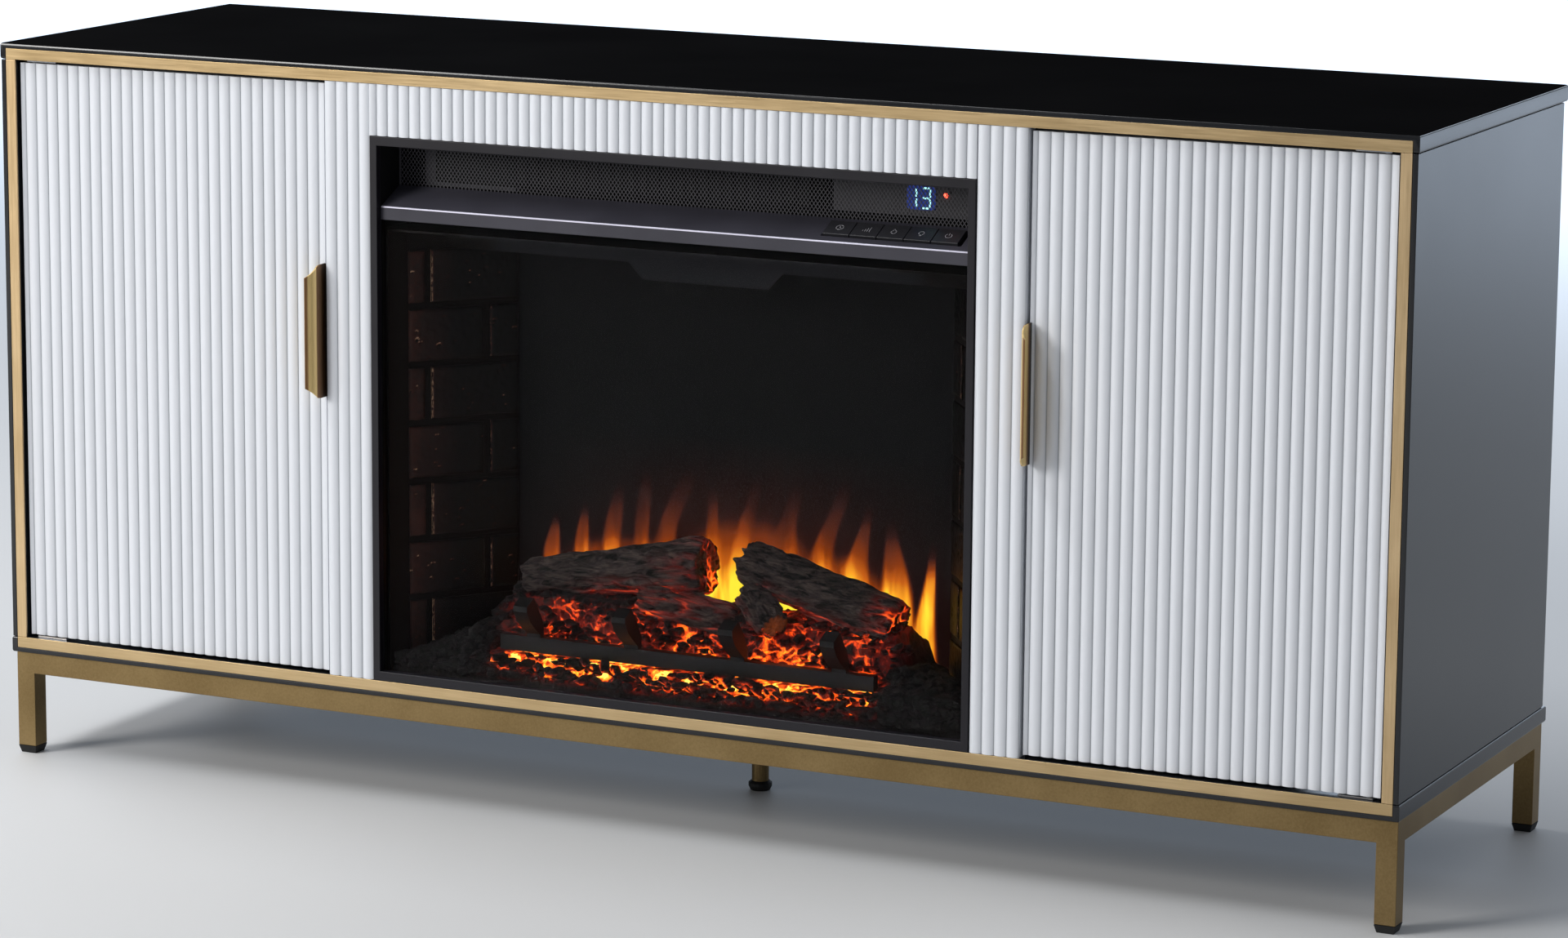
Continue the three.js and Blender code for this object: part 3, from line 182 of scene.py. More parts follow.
class Look:
    """A procedural material whose patterns lie in the object's own space, in metres"""

    NAMES = {
        "color": "Base Color", "roughness": "Roughness", "metallic": "Metallic", "ior": "IOR",
        "specular": "Specular IOR Level", "coat": "Coat Weight", "coat_roughness": "Coat Roughness",
        "transmission": "Transmission Weight", "emission": "Emission Color", "strength": "Emission Strength",
    }

    def __init__(self, name, **values):
        self.material = bpy.data.materials.new(name)
        self.material.use_nodes = True
        self.tree = self.material.node_tree
        self.shader = self.tree.nodes["Principled BSDF"]
        for key, value in values.items():
            self.shader.inputs[self.NAMES[key]].default_value = value

    def node(self, kind, inputs=None, output=0, **settings):
        """An output of a new node, whose inputs are numbers or the outputs of other nodes"""
        made = self.tree.nodes.new("ShaderNode" + kind)
        for key, value in settings.items():
            setattr(made, key, value)
        for key, value in (inputs or {}).items():
            if isinstance(value, bpy.types.NodeSocket):
                self.tree.links.new(value, made.inputs[key])
            else:
                made.inputs[key].default_value = value
        return made.outputs[output]

    def place(self, stretch=(1, 1, 1)):
        return self.node("Mapping", {"Vector": self.node("TexCoord", output="Object"), "Scale": stretch})

    def noise(self, size, stretch=(1, 1, 1), detail=3.0, rough=0.5, distortion=0.0, output="Fac"):
        return self.node("TexNoise", {"Vector": self.place(stretch), "Scale": 1 / size, "Detail": detail,
                                      "Roughness": rough, "Distortion": distortion}, output)

    def cells(self, size, stretch=(1, 1, 1), warp=None):
        """How far a point lies from the joints between cells, whose space may be bent"""
        place = self.place(stretch)
        if warp is not None:
            place = self.node("VectorMath", {0: place, 1: warp}, operation="ADD")
        return self.node("TexVoronoi", {"Vector": place, "Scale": 1 / size}, "Distance",
                         feature="DISTANCE_TO_EDGE")

    def warp(self, size, amount, stretch=(1, 1, 1), detail=4.0):
        bend = self.noise(size, stretch, detail, output="Color")
        return self.node("VectorMath", {0: bend, 1: (amount,) * 3}, operation="MULTIPLY")

    def math(self, operation, first, second=0.0):
        return self.node("Math", {0: first, 1: second}, operation=operation)

    def span(self, value, low, high, from_low=0.0, from_high=1.0):
        return self.node("MapRange", {"Value": value, "From Min": from_low, "From Max": from_high, "To Min": low,
                                      "To Max": high})

    def weigh(self, first, weight, second, other):
        """The sum of two patterns, each times its own weight"""
        made = self.math("MULTIPLY_ADD", first, weight)
        self.tree.links.new(self.math("MULTIPLY", second, other), made.node.inputs[2])
        return made

    def axis(self, letter):
        return self.node("SeparateXYZ", {0: self.place()}, letter)

    def glow(self):
        """What the mesh says at each point: the heat of glowing parts, and painted highlights and painted shade on
        others
        """
        return self.node("Attribute", output="Fac", attribute_name="glow")

    def feed(self, key, value):
        self.tree.links.new(value, self.shader.inputs[self.NAMES[key]])

    def paint(self, value, *stops, key="color"):
        """Colours over a pattern; three numbers are a colour of a picture, and four a colour of light"""
        made = self.node("ValToRGB", {"Fac": value})
        elements = made.node.color_ramp.elements
        while len(elements) < len(stops):
            elements.new(0.5)
        for element, (position, color) in zip(elements, stops):
            element.position = position
            element.color = color if len(color) == 4 else srgb(*color)
        self.feed(key, made)

    def gloss(self, value, low, high, *ends):
        self.feed("roughness", self.span(value, low, high, *ends))

    def bump(self, height, distance, strength=1.0):
        inputs = {"Height": height, "Distance": distance, "Strength": strength}
        normal = self.shader.inputs["Normal"]
        if normal.is_linked:
            inputs["Normal"] = normal.links[0].from_socket
        self.tree.links.new(self.node("Bump", inputs), normal)


def board_look(name, dark, light, roughness, specular=0.5):
    """A laminated or painted board: faint clouds in its colour and gloss over a fine grain"""
    look = Look(name, specular=specular)
    clouds = look.noise(0.16, detail=4)
    look.paint(clouds, (0.3, dark), (0.7, light))
    look.gloss(clouds, roughness - 0.04, roughness + 0.04, *MIDDLE)
    look.bump(look.noise(0.0007, detail=2), 0.00001, 0.5)
    return look.material


def brass_look():
    """Satin brass, darker where the mesh paints shade and a darker reflection on it"""
    look = Look("brushed_brass", metallic=0.35, specular=0.5)
    streaks = look.noise(0.0012, UPRIGHT, detail=4, rough=0.6)
    # The mesh's value is painted light: low for painted shade, and lower towards the lip for a painted reflection
    tone = look.math("ADD", look.glow(), look.span(streaks, -0.06, 0.06, *MIDDLE))
    look.paint(tone, (0.05, (26, 17, 9)), (0.5, (138, 98, 58)), (0.9, (240, 208, 140)))
    look.gloss(streaks, 0.26, 0.38, *MIDDLE)
    look.bump(streaks, 0.00001, 0.6)
    return look.material


def metal_look(name, dark, light, roughness, stretch=(1, 1, 1), streak=0.0012, metallic=1.0):
    """Metal with streaks along its brushing, or with an even grain where it isn't stretched"""
    look = Look(name, metallic=metallic)
    streaks = look.noise(streak, stretch, detail=4, rough=0.6)
    look.paint(look.weigh(look.noise(0.07, detail=2), 0.5, streaks, 0.5), (0.35, dark), (0.65, light))
    look.gloss(streaks, roughness - 0.06, roughness + 0.08, *MIDDLE)
    look.bump(streaks, 0.00001, 0.6)
    return look.material


def plastic_look(name, shade, roughness, grain=0.0009, depth=0.00003, specular=0.5, coat=0.0):
    """Moulded plastic, rubber or powder paint: a fine leathery grain and a slightly uneven gloss"""
    look = Look(name, specular=specular, coat=coat, coat_roughness=0.18)
    clouds = look.noise(0.05, detail=2)
    bright = tuple(min(1.0, channel * 1.25) for channel in srgb(*shade)[:3]) + (1.0,)
    look.paint(clouds, (0.3, shade), (0.7, bright))
    look.gloss(clouds, roughness - 0.05, roughness + 0.05, *MIDDLE)
    look.bump(look.noise(grain, detail=3, rough=0.6), depth, 0.6)
    return look.material


def white_look():
    """Satin white lacquer with a trace of brush relief down the reeds, greyer where the mesh paints shade into the
    reeds' grooves
    """
    look = Look("white_lacquer", specular=0.45)
    clouds = look.noise(0.2, detail=3)
    # The mesh's value here is painted shade, deepest in the reeds' grooves
    shade = look.math("ADD", look.glow(), look.span(clouds, -0.05, 0.05, *MIDDLE))
    look.paint(shade, (0.0, (222, 225, 231)), (0.45, (214, 217, 223)), (1.0, (158, 161, 167)))
    look.gloss(clouds, 0.36, 0.46, *MIDDLE)
    look.bump(look.noise(0.0016, (1, 1, 0.08), detail=3), 0.00002, 0.5)
    return look.material


def brick_look():
    """Dark pressed brick with a pitted face, darker towards the back of the firebox as painted shade, and pale
    where the mesh paints highlights
    """
    look = Look("brick", specular=0.22)
    grain = look.noise(0.004, detail=6, rough=0.65)
    both = look.weigh(look.noise(0.05, detail=3), 0.6, grain, 0.4)
    # Painted shade: the brick darkens towards the back of the firebox
    shade = look.math("MULTIPLY", both, look.span(look.axis("Y"), 1.0, 0.22, -0.137, -0.098))
    # Painted highlight: pale where the mesh says, broken up by the grain
    painted_highlight = look.math("MULTIPLY", look.glow(), look.span(grain, 0.2, 0.8, 0.35, 0.6))
    look.paint(look.math("ADD", shade, painted_highlight), (0.15, (5, 4, 4)), (0.42, (42, 23, 19)), (0.66, (84, 44, 34)),
               (1.0, (206, 160, 124)))
    look.gloss(grain, 0.3, 0.6)
    look.bump(grain, 0.0006, 0.7)
    return look.material


def mortar_look():
    """The sheet behind the bricks, nearly black like the joints between them, and its greyer valance"""
    look = Look("mortar", specular=0.15)
    grain = look.noise(0.003, detail=5, rough=0.6)
    centre = look.span(look.math("ABSOLUTE", look.axis("X")), 0.5, 0.0, 0.200, 0.225)
    tone = look.math("ADD", centre, look.math("MULTIPLY", grain, 0.5))
    look.paint(tone, (0.15, (9, 7, 7)), (0.37, (24, 18, 16)), (0.65, (34, 34, 38)), (0.87, (40, 40, 44)))
    look.gloss(grain, 0.6, 0.8)
    look.bump(grain, 0.0003, 0.6)
    return look.material


EMBER_STOPS = (
    (0.0, (0.0, 0.0, 0.0, 1)), (0.18, (0.05, 0.002, 0.001, 1)), (0.38, (0.5, 0.035, 0.003, 1)),
    (0.58, (1.0, 0.15, 0.008, 1)), (0.8, (1.0, 0.38, 0.025, 1)), (1.0, (1.0, 0.62, 0.10, 1)),
)
FLAME_STOPS = (
    (0.0, (0.0, 0.0, 0.0, 1)), (0.2, (0.024, 0.005, 0.003, 1)), (0.35, (0.094, 0.015, 0.003, 1)),
    (0.5, (0.22, 0.036, 0.002, 1)), (0.66, (0.51, 0.107, 0.005, 1)), (0.84, (0.87, 0.33, 0.015, 1)),
    (1.0, (1.0, 0.76, 0.04, 1)),
)


def charred_look(name, dark, light, crack, stretch, strength):
    """Burnt wood: bark relief, ash on its ridges, and a glow in the cracks where the mesh says it is hot"""
    look = Look(name, specular=0.3, strength=strength)
    ridges = look.noise(0.007, stretch, detail=8, rough=0.66, distortion=0.9)
    grain = look.noise(0.0015, stretch, detail=4, rough=0.6)
    look.paint(ridges, (0.40, dark), (0.64, light))
    look.gloss(grain, 0.6, 0.95)
    look.bump(ridges, 0.006, 1.0)
    look.bump(grain, 0.0006, 0.7)
    edges = look.cells(crack, stretch, look.warp(crack * 1.6, crack * 1.4, stretch))
    cracks = look.span(edges, 1.0, 0.0, 0.0, 0.22)
    patches = look.span(look.noise(crack * 2.2, stretch, detail=3), 0.0, 1.0, 0.36, 0.62)
    broken = look.math("MULTIPLY", cracks, patches)
    even = look.span(look.glow(), 0.0, 0.45, 0.85, 1.0)
    heat = look.math("MULTIPLY", look.glow(), look.math("MAXIMUM", broken, even))
    look.paint(heat, *EMBER_STOPS, key="emission")
    return look.material


def cut_look():
    """The smooth scorched end of a sawn log, lit by the embers"""
    look = Look("scorched_end", specular=0.25, strength=1.0)
    rings = look.noise(0.006, detail=4, rough=0.6)
    look.paint(rings, (0.35, (64, 32, 18)), (0.7, (112, 60, 34)))
    look.gloss(rings, 0.5, 0.7)
    look.bump(rings, 0.0008, 0.6)
    glow = look.math("MULTIPLY", look.glow(), look.span(rings, 0.45, 1.0, *MIDDLE))
    look.paint(glow, (0.0, (0.0, 0.0, 0.0, 1)), (0.6, (0.09, 0.018, 0.004, 1)), (1.0, (0.22, 0.052, 0.008, 1)),
               key="emission")
    return look.material


def ember_look():
    """Glowing charcoal: bright veins between dark crusts, over a patchy glow"""
    look = Look("embers", specular=0.3, strength=2.2)
    ridges = look.noise(0.007, detail=7, rough=0.62, distortion=0.8)
    look.paint(ridges, (0.4, (8, 7, 7)), (0.65, (34, 29, 28)))
    look.gloss(ridges, 0.9, 0.6)
    look.bump(ridges, 0.003, 0.9)
    edges = look.cells(0.016, (1, 1, 1.5), look.warp(0.012, 0.024, detail=5.0))
    veins = look.span(edges, 1.0, 0.0, 0.0, 0.17)
    broad = look.span(look.noise(0.026, detail=5, rough=0.62, distortion=1.0), 0.0, 1.0, 0.42, 0.64)
    both = look.weigh(veins, look.span(broad, 0.36, 0.85), broad, 0.46)
    look.paint(look.math("MULTIPLY", look.glow(), both), *EMBER_STOPS, key="emission")
    return look.material


def screen_look():
    """Smoked acrylic that shows the flames behind it"""
    look = Look("flame_acrylic", color=srgb(20, 20, 21), specular=0.05, strength=1.3)
    look.gloss(look.noise(0.05, detail=2), 0.22, 0.30)
    wisps = look.noise(0.016, (1, 1, 0.22), detail=2, distortion=0.4)
    heat = look.math("MULTIPLY", look.glow(), look.span(wisps, 0.82, 1.12, 0.35, 0.65))
    look.paint(heat, *FLAME_STOPS, key="emission")
    return look.material


def glass_look():
    """Clear, faintly smoked front glass"""
    look = Look("front_glass", color=(0.86, 0.86, 0.87, 1), transmission=1.0, ior=1.08)
    look.gloss(look.noise(0.3, detail=2), 0.0, 0.02)
    return look.material


def lamp_look(name, color, strength):
    """A lit figure or lamp behind a clear cover"""
    look = Look(name, color=color, emission=color, strength=strength, roughness=0.3)
    look.bump(look.noise(0.0008), 0.00002, 0.3)
    return look.material


def fin_look():
    """Folded heating strip: thin dark lines across grey metal"""
    look = Look("heater_fins", specular=0.15, roughness=0.6)
    waves = look.node("TexWave", {"Vector": look.place(), "Scale": 1 / 0.004}, "Fac", bands_direction="X")
    look.paint(waves, (0.2, (6, 6, 6)), (0.6, (20, 19, 18)))
    look.bump(waves, 0.0005, 0.8)
    return look.material


def circuit_look():
    """Green circuit board with paler tracks"""
    look = Look("circuit_board", roughness=0.35)
    tracks = look.cells(0.006)
    look.paint(tracks, (0.05, (60, 110, 60)), (0.12, (22, 60, 34)))
    look.bump(tracks, 0.0002, 0.5)
    return look.material


def floor_look():
    """Pale plain floor"""
    look = Look("pale_floor", roughness=0.6, specular=0.3)
    look.paint(look.noise(1.2, detail=2), (0.3, (0.64, 0.64, 0.64, 1)), (0.7, (0.67, 0.67, 0.67, 1)))
    return look.material


# The looks: those of the material slots under the slots' own names, and the others
LOOKS = {
    "black_board": board_look("black_laminate", (14, 15, 18), (20, 21, 25), 0.17),
    "inner_board": board_look("inner_laminate", (30, 30, 32), (40, 40, 42), 0.55),
    "gold_trim": metal_look("gold_trim_along", (182, 156, 114), (204, 178, 136), 0.34, ALONG),
    "bronze_tube": metal_look("bronze_paint", (124, 103, 68), (146, 124, 86), 0.42, streak=0.002),
    "gold_handle": brass_look(),
    "foot_rubber": plastic_look("foot_rubber", (14, 14, 14), 0.7),
    "white_reed": white_look(),
    "zinc_steel": metal_look("zinc_steel", (150, 152, 156), (186, 188, 192), 0.32),
    "black_plastic": plastic_look("black_plastic", (11, 11, 12), 0.5, specular=0.2),
    "grey_steel": plastic_look("grey_powder_paint", (54, 53, 61), 0.42, 0.0007, 0.00001, 0.25, 0.2),
    "black_steel": plastic_look("black_powder_paint", (14, 14, 15), 0.5, 0.0007, 0.00004, specular=0.3),
    "key_plastic": plastic_look("key_plastic", (40, 40, 44), 0.38),
    "display_plastic": plastic_look("display_housing", (58, 56, 60), 0.5),
    "heater_fins": fin_look(),
    "brick_sheet": mortar_look(),
    "flame_acrylic": screen_look(),
    "log_resin": charred_look("charred_bark", (14, 11, 11), (92, 78, 74), 0.011, (0.3, 1, 1), 2.0),
    "circuit_board": circuit_look(),
    "tinted_glass": glass_look(),
    "matt": board_look("matt_laminate", (13, 13, 14), (16, 16, 17), 0.6, specular=0.0),
    # The side trims: the same gold brushed upright, with its colour painted lighter than the trims along as painted
    # light
    "gold_up": metal_look("gold_trim_up", (196, 168, 126), (220, 192, 150), 0.34, UPRIGHT),
    "bezel": plastic_look("bezel_powder_paint", (20, 18, 24), 0.42, 0.0007, 0.00001, 0.3, 0.06),
    "wire": plastic_look("mesh_paint", (54, 52, 58), 0.5, 0.0007, 0.00004),
    "backing": plastic_look("backing_paint", (46, 45, 51), 0.5, 0.0007, 0.00004, specular=0.3),
    # A painted highlight: the light strip along the hood's front edge
    "edge": metal_look("painted_highlight_edge", (182, 180, 196), (204, 202, 218), 0.4, ALONG, metallic=0.25),
    "blower": plastic_look("blower_paint", (12, 12, 12), 0.6, specular=0.1),
    "icon": plastic_look("key_symbols", (176, 175, 181), 0.5),
    "window": lamp_look("display_window", (0.006, 0.03, 0.26, 1), 0.4),
    "digits": lamp_look("lit_digits", (0.40, 0.88, 0.85, 1), 1.5),
    "lamp": lamp_look("lit_lamp", (1.0, 0.08, 0.04, 1), 4.0),
    "brick": brick_look(),
    "ember": ember_look(),
    "cut": cut_look(),
    "coal": charred_look("coal", (10, 9, 9), (38, 35, 34), 0.012, (1, 1, 1), 1.8),
}


# Meshes

def add_object(name, data):
    made = bpy.data.objects.new(name, data)
    bpy.context.scene.collection.objects.link(made)
    return made


def add_mesh(name, node, mesh, look, smooth):
    """A piece that belongs with a CAD node, on the same body and in the same slot"""
    mesh.materials.clear()
    mesh.materials.append(LOOKS[look or SLOT[node]])
    for polygon in mesh.polygons:
        polygon.use_smooth = smooth
    piece = add_object(name, mesh)
    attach(piece, BODY[node])
    return piece


def add_piece(name, node, vertices, faces, look=None, smooth=False, glow=None):
    """A new piece from vertices in millimetres, with what its look reads at each of them"""
    mesh = bpy.data.meshes.new(name)
    mesh.from_pydata([tuple(value * MM for value in vertex) for vertex in vertices], [], faces)
    mesh.validate()
    if glow is not None:
        mesh.attributes.new("glow", "FLOAT", "POINT").data.foreach_set("value", glow)
    return add_mesh(name, node, mesh, look, smooth)


def plain_copy(node):
    """The node's own mesh, welded and with its flat faces joined again"""
    made = bmesh.new()
    made.from_mesh(frame["nodes"][node].data)
    bmesh.ops.remove_doubles(made, verts=made.verts, dist=2e-6)
    bmesh.ops.dissolve_limit(made, angle_limit=math.radians(0.6), verts=made.verts, edges=made.edges)
    return made


def stand_in(node, suffix, made, look=None, smooth=False):
    """The edited copy of a node's mesh, in the place of the node"""
    mesh = bpy.data.meshes.new(node)
    made.to_mesh(mesh)
    made.free()
    piece = add_mesh(f"{node}_{suffix}", node, mesh, look, smooth)
    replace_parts(piece, node)
    return piece


def dress(node, width, look=None, segments=2):
    """A piece of the node's own shape, with its edges rounded to the width given"""
    piece = stand_in(node, "dressed", plain_copy(node), look, True)
    round_edges(piece, width, segments)
    return piece


def round_edges(piece, width, segments=2):
    rounding = piece.modifiers.new("rounding", "BEVEL")
    rounding.width = width * MM
    rounding.segments = segments
    rounding.limit_method = "ANGLE"
    rounding.angle_limit = ROUNDED_ANGLE
    rounding.use_clamp_overlap = True
    piece.modifiers.new("shading", "WEIGHTED_NORMAL").weight = 100


def node_box(node):
    """The low and high corners of a CAD node, in millimetres"""
    return [[value / MM for value in corner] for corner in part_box(node)]


def grid(columns, rows, base=0, closed=False):
    """The faces over rows of vertices; each row of a closed grid joins its own ends"""
    wide = columns if closed else columns + 1
    return [(base + j * wide + i, base + j * wide + (i + 1) % wide,
             base + (j + 1) * wide + (i + 1) % wide, base + (j + 1) * wide + i)
            for j in range(rows) for i in range(columns)]


def spread(low, high, steps):
    """Evenly spread values from low to high, one more than the steps between them"""
    return [low + (high - low) * step / steps for step in range(steps + 1)]


def lumps(*place):
    """Smooth noise at a place, between about -1 and 1"""
    return noise.noise(Vector(place))


def smooth_step(value, low=0.0, high=1.0):
    """0 up to low, 1 from high on, and a smooth rise between them"""
    share = min(1.0, max(0.0, (value - low) / (high - low)))
    return share * share * (3 - 2 * share)


def along_table(table, place):
    """The value at a place, between the rows of a table of places and values"""
    for (start, low), (end, high) in zip(table, table[1:]):
        if place <= end:
            return low + (high - low) * (place - start) / (end - start)
    return table[-1][1]


# Fluted fronts

def reed_strips(x0, x1, z0, z1, front, pitch, first):
    """Reeds over the width given, each a smooth arc with closed ends, and the painted shade of each vertex, which
    grows with its depth towards the groove
    """
    radius = (pitch * pitch / 4 + REED_DEPTH ** 2) / (2 * REED_DEPTH)
    back = front + REED_DEPTH + REED_BACK
    vertices, faces = [], []
    groove = x0 + first - pitch
    while groove < x1:
        centre = groove + pitch / 2
        left, right = max(groove, x0 + REED_INSET), min(groove + pitch, x1 - REED_INSET)
        groove += pitch
        if right - left < REED_INSET:
            continue
        arc = [(x, front + min(REED_DEPTH, radius - math.sqrt(radius ** 2 - (x - centre) ** 2)))
               for x in spread(left, right, REED_STEPS)]
        base = len(vertices)
        vertices += [(x, y, z) for x, y in arc for z in (z0, z1)]
        faces += [(low, low + 2, low + 3, low + 1) for low in range(base, base + REED_STEPS * 2, 2)]
        caps = [([(x, y, z) for x, y in arc + [(right, back), (left, back)]], order)
                for z, order in ((z0, -1), (z1, 1))]
        sides = [([(x, y, z0), (x, back, z0), (x, back, z1), (x, y, z1)], order)
                 for (x, y), order in ((arc[0], -1), (arc[-1], 1))]
        for ring, order in caps + sides:
            faces.append(list(range(len(vertices), len(vertices) + len(ring)))[::order])
            vertices += ring
    # The last list is painted shade: greyer the deeper a vertex lies towards a groove
    return vertices, faces, [min(1.0, (y - front) / REED_DEPTH) ** REED_SHADE for _, y, _ in vertices]


def flute(node, front, pitch, first):
    """A fluted front: the CAD board behind its grooves, with smooth reeds on it"""
    made = plain_copy(node)
    whole = made.verts[:] + made.edges[:] + made.faces[:]
    cut = bmesh.ops.bisect_plane(made, geom=whole, plane_co=(0, (front + REED_DEPTH + BOARD_BEHIND) * MM, 0),
                                 plane_no=(0, -1, 0), clear_outer=True)
    edges = [item for item in cut["geom_cut"] if isinstance(item, bmesh.types.BMEdge)]
    bmesh.ops.triangle_fill(made, edges=edges, use_beauty=True)
    stand_in(node, "board", made)
    low, high = node_box(node)
    vertices, faces, groove_shade = reed_strips(low[0], high[0], low[2], high[2], front, pitch, first)
    reeds = add_piece(f"{node}_reeds", node, vertices, faces, smooth=True, glow=groove_shade)
    reeds.data.set_sharp_from_angle(angle=REED_SHARP)


# Outlet mesh

def ribbon(vertices, faces, start, end, width, y0, y1):
    """A flat bar from start to end in the plane of x and z"""
    along = Vector((end[0] - start[0], end[1] - start[1])).normalized()
    side = Vector((-along.y, along.x)) * width / 2
    base = len(vertices)
    for y in (y0, y1):
        for point, sign in ((start, 1), (start, -1), (end, -1), (end, 1)):
            vertices.append((point[0] + side.x * sign, y, point[1] + side.y * sign))
    for face in ((0, 1, 2, 3), (7, 6, 5, 4), (0, 4, 5, 1), (2, 6, 7, 3), (1, 5, 6, 2), (3, 7, 4, 0)):
        faces.append([base + corner for corner in face])


def outlet_mesh():
    """The outlet's mesh of crossing wires, inside a folded rim"""
    (x0, y0, z0), (x1, y1, z1) = node_box("outlet_grille")
    vertices, faces = [], []
    reach = (z1 - z0) / MESH_SLOPE
    for sign, foot in ((1, z0), (-1, z1)):
        middle = (y0 + y1) / 2 + sign * MESH_THICKNESS / 4
        for index in range(int((x1 - x0 + reach) / MESH_PITCH) + 1):
            begin = x0 - reach + index * MESH_PITCH
            left, right = max(begin, x0), min(begin + reach, x1)
            if right - left < MESH_WIRE:
                continue
            start, end = ((x, foot + sign * (x - begin) * MESH_SLOPE) for x in (left, right))
            ribbon(vertices, faces, start, end, MESH_WIRE, middle - MESH_THICKNESS / 4, middle + MESH_THICKNESS / 4)
    inset = MESH_RIM / 2
    for start, end in (((x0, z0 + inset), (x1, z0 + inset)), ((x0, z1 - inset), (x1, z1 - inset)),
                       ((x0 + inset, z0), (x0 + inset, z1)), ((x1 - inset, z0), (x1 - inset, z1))):
        ribbon(vertices, faces, start, end, MESH_RIM, y0, y1)
    mesh = add_piece("outlet_mesh", "outlet_grille", vertices, faces, "wire")
    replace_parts(mesh, "outlet_grille")


def backing_plate():
    """The plate with folded edges that shows behind the left end of the outlet mesh"""
    x0, x1, z0, z1 = BACKING_PLATE
    vertices = []
    for depth, inset in ((BACKING_FOLD, 0.0), (BACKING_BEND, 0.0), (0.0, BACKING_BEND)):
        vertices += [(x, BACKING_FRONT + depth, z) for x, z in (
            (x0 + inset, z0 + inset), (x1 - inset, z0 + inset), (x1 - inset, z1 - inset), (x0 + inset, z1 - inset))]
    faces = grid(4, 2, closed=True) + [(8, 9, 10, 11)]
    add_piece("backing_plate", "outlet_grille", vertices, faces, "backing")


def hood_edge():
    """A painted highlight: a bright, partly metallic strip along the fold between the hood's slope and its front"""
    low, high = node_box("control_hood")
    slope = KEY_SLOPE
    fold = Vector((low[1], high[2] - (high[1] - low[1]) * math.tan(slope)))
    radius = HOOD_ROUNDING / math.tan((math.pi / 2 - slope) / 2)
    centre = fold + Vector((radius, -HOOD_ROUNDING))
    up, out = Vector((math.cos(slope), math.sin(slope))), Vector((-math.sin(slope), math.cos(slope)))
    down, front = Vector((0, -1)), Vector((-1, 0))
    far = HOOD_HIGHLIGHT + HOOD_TUCK
    profile = [fold + up * far - out * HOOD_TUCK, fold + up * HOOD_HIGHLIGHT + out * HOOD_PROUD]
    for turn in map(math.radians, HOOD_TURNS):
        profile.append(centre + Vector((-math.sin(turn), math.cos(turn))) * (radius + HOOD_PROUD))
    profile += [fold + down * HOOD_HIGHLIGHT + front * HOOD_PROUD, fold + down * far - front * HOOD_TUCK]
    vertices = [(x, point.x, point.y) for point in profile for x in (low[0] + HOOD_INSET, high[0] - HOOD_INSET)]
    faces = [(base + 2, base + 3, base + 1, base) for base in range(0, len(vertices) - 2, 2)]
    add_piece("hood_edge", "control_hood", vertices, faces, "edge", True)


# Handles

def handle_profile():
    """Stations of the handle's plate in x and y with their turning angle, from the root to the lip"""
    curl_start = HANDLE_TIP + (HANDLE_CURL + HANDLE_PLATE / 2) * math.sin(HANDLE_ANGLE)
    plate_x = HANDLE_INNER + HANDLE_PLATE / 2
    curl = [(plate_x + HANDLE_CURL * (1 - math.cos(angle)), curl_start - HANDLE_CURL * math.sin(angle), angle)
            for angle in spread(0.0, HANDLE_ANGLE, HANDLE_STEPS)]
    return [(plate_x, y, 0.0) for y in HANDLE_FLAT] + curl


def handle_painted_light(y, angle, sign):
    """How light the brass is, as painted light: painted shade where the plate leaves the door and on its inner
    face, and a darker painted reflection, brown, towards the lip
    """
    if sign > 0:
        return 0.9 * (1 - smooth_step(y, -192, -187))
    inner = 0.1 + 0.32 * (1 - smooth_step(y, -197, -188))
    return max(inner, 0.9 * smooth_step(angle, 0.0, 0.2) * (1 - 0.5 * smooth_step(angle, 0.64, 0.80)))


def handle(word, side):
    """A formed brass plate with a curled lip and cropped corners"""
    low, high = node_box(f"{word}_handle")
    vertices, faces, painted_light = [], [], []
    for x, y, angle in handle_profile():
        drop = HANDLE_DROP * min(1.0, max(0.0, (HANDLE_TIP + HANDLE_RUN - y) / HANDLE_RUN))
        for sign in (1, -1):
            place = (side * (x + sign * HANDLE_PLATE / 2 * math.cos(angle)),
                     y + sign * HANDLE_PLATE / 2 * math.sin(angle))
            vertices += [(*place, low[2] + drop), (*place, high[2] - drop)]
            # Painted light on the brass: painted shade by the door and on the inner face, and a darker painted
            # reflection at the lip
            painted_light += [handle_painted_light(y, angle, sign)] * 2
    last = len(vertices) - 4
    for base in range(0, last, 4):
        for a, b in ((0, 1), (1, 3), (3, 2), (2, 0)):
            faces.append((base + a, base + b, base + 4 + b, base + 4 + a))
    faces += [(2, 3, 1, 0), (last, last + 1, last + 3, last + 2)]
    if side < 0:
        faces = [face[::-1] for face in faces]
    node = f"{word}_handle"
    piece = add_piece(f"{node}_plate", node, vertices, faces, smooth=True, glow=painted_light)
    round_edges(piece, HANDLE_ROUNDING)
    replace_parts(piece, node)


# Key symbols and the lit figures

def arc_points(centre, radius, start, end, steps=20):
    return [(centre[0] + radius * math.cos(turn), centre[1] + radius * math.sin(turn))
            for turn in map(math.radians, spread(start, end, steps))]


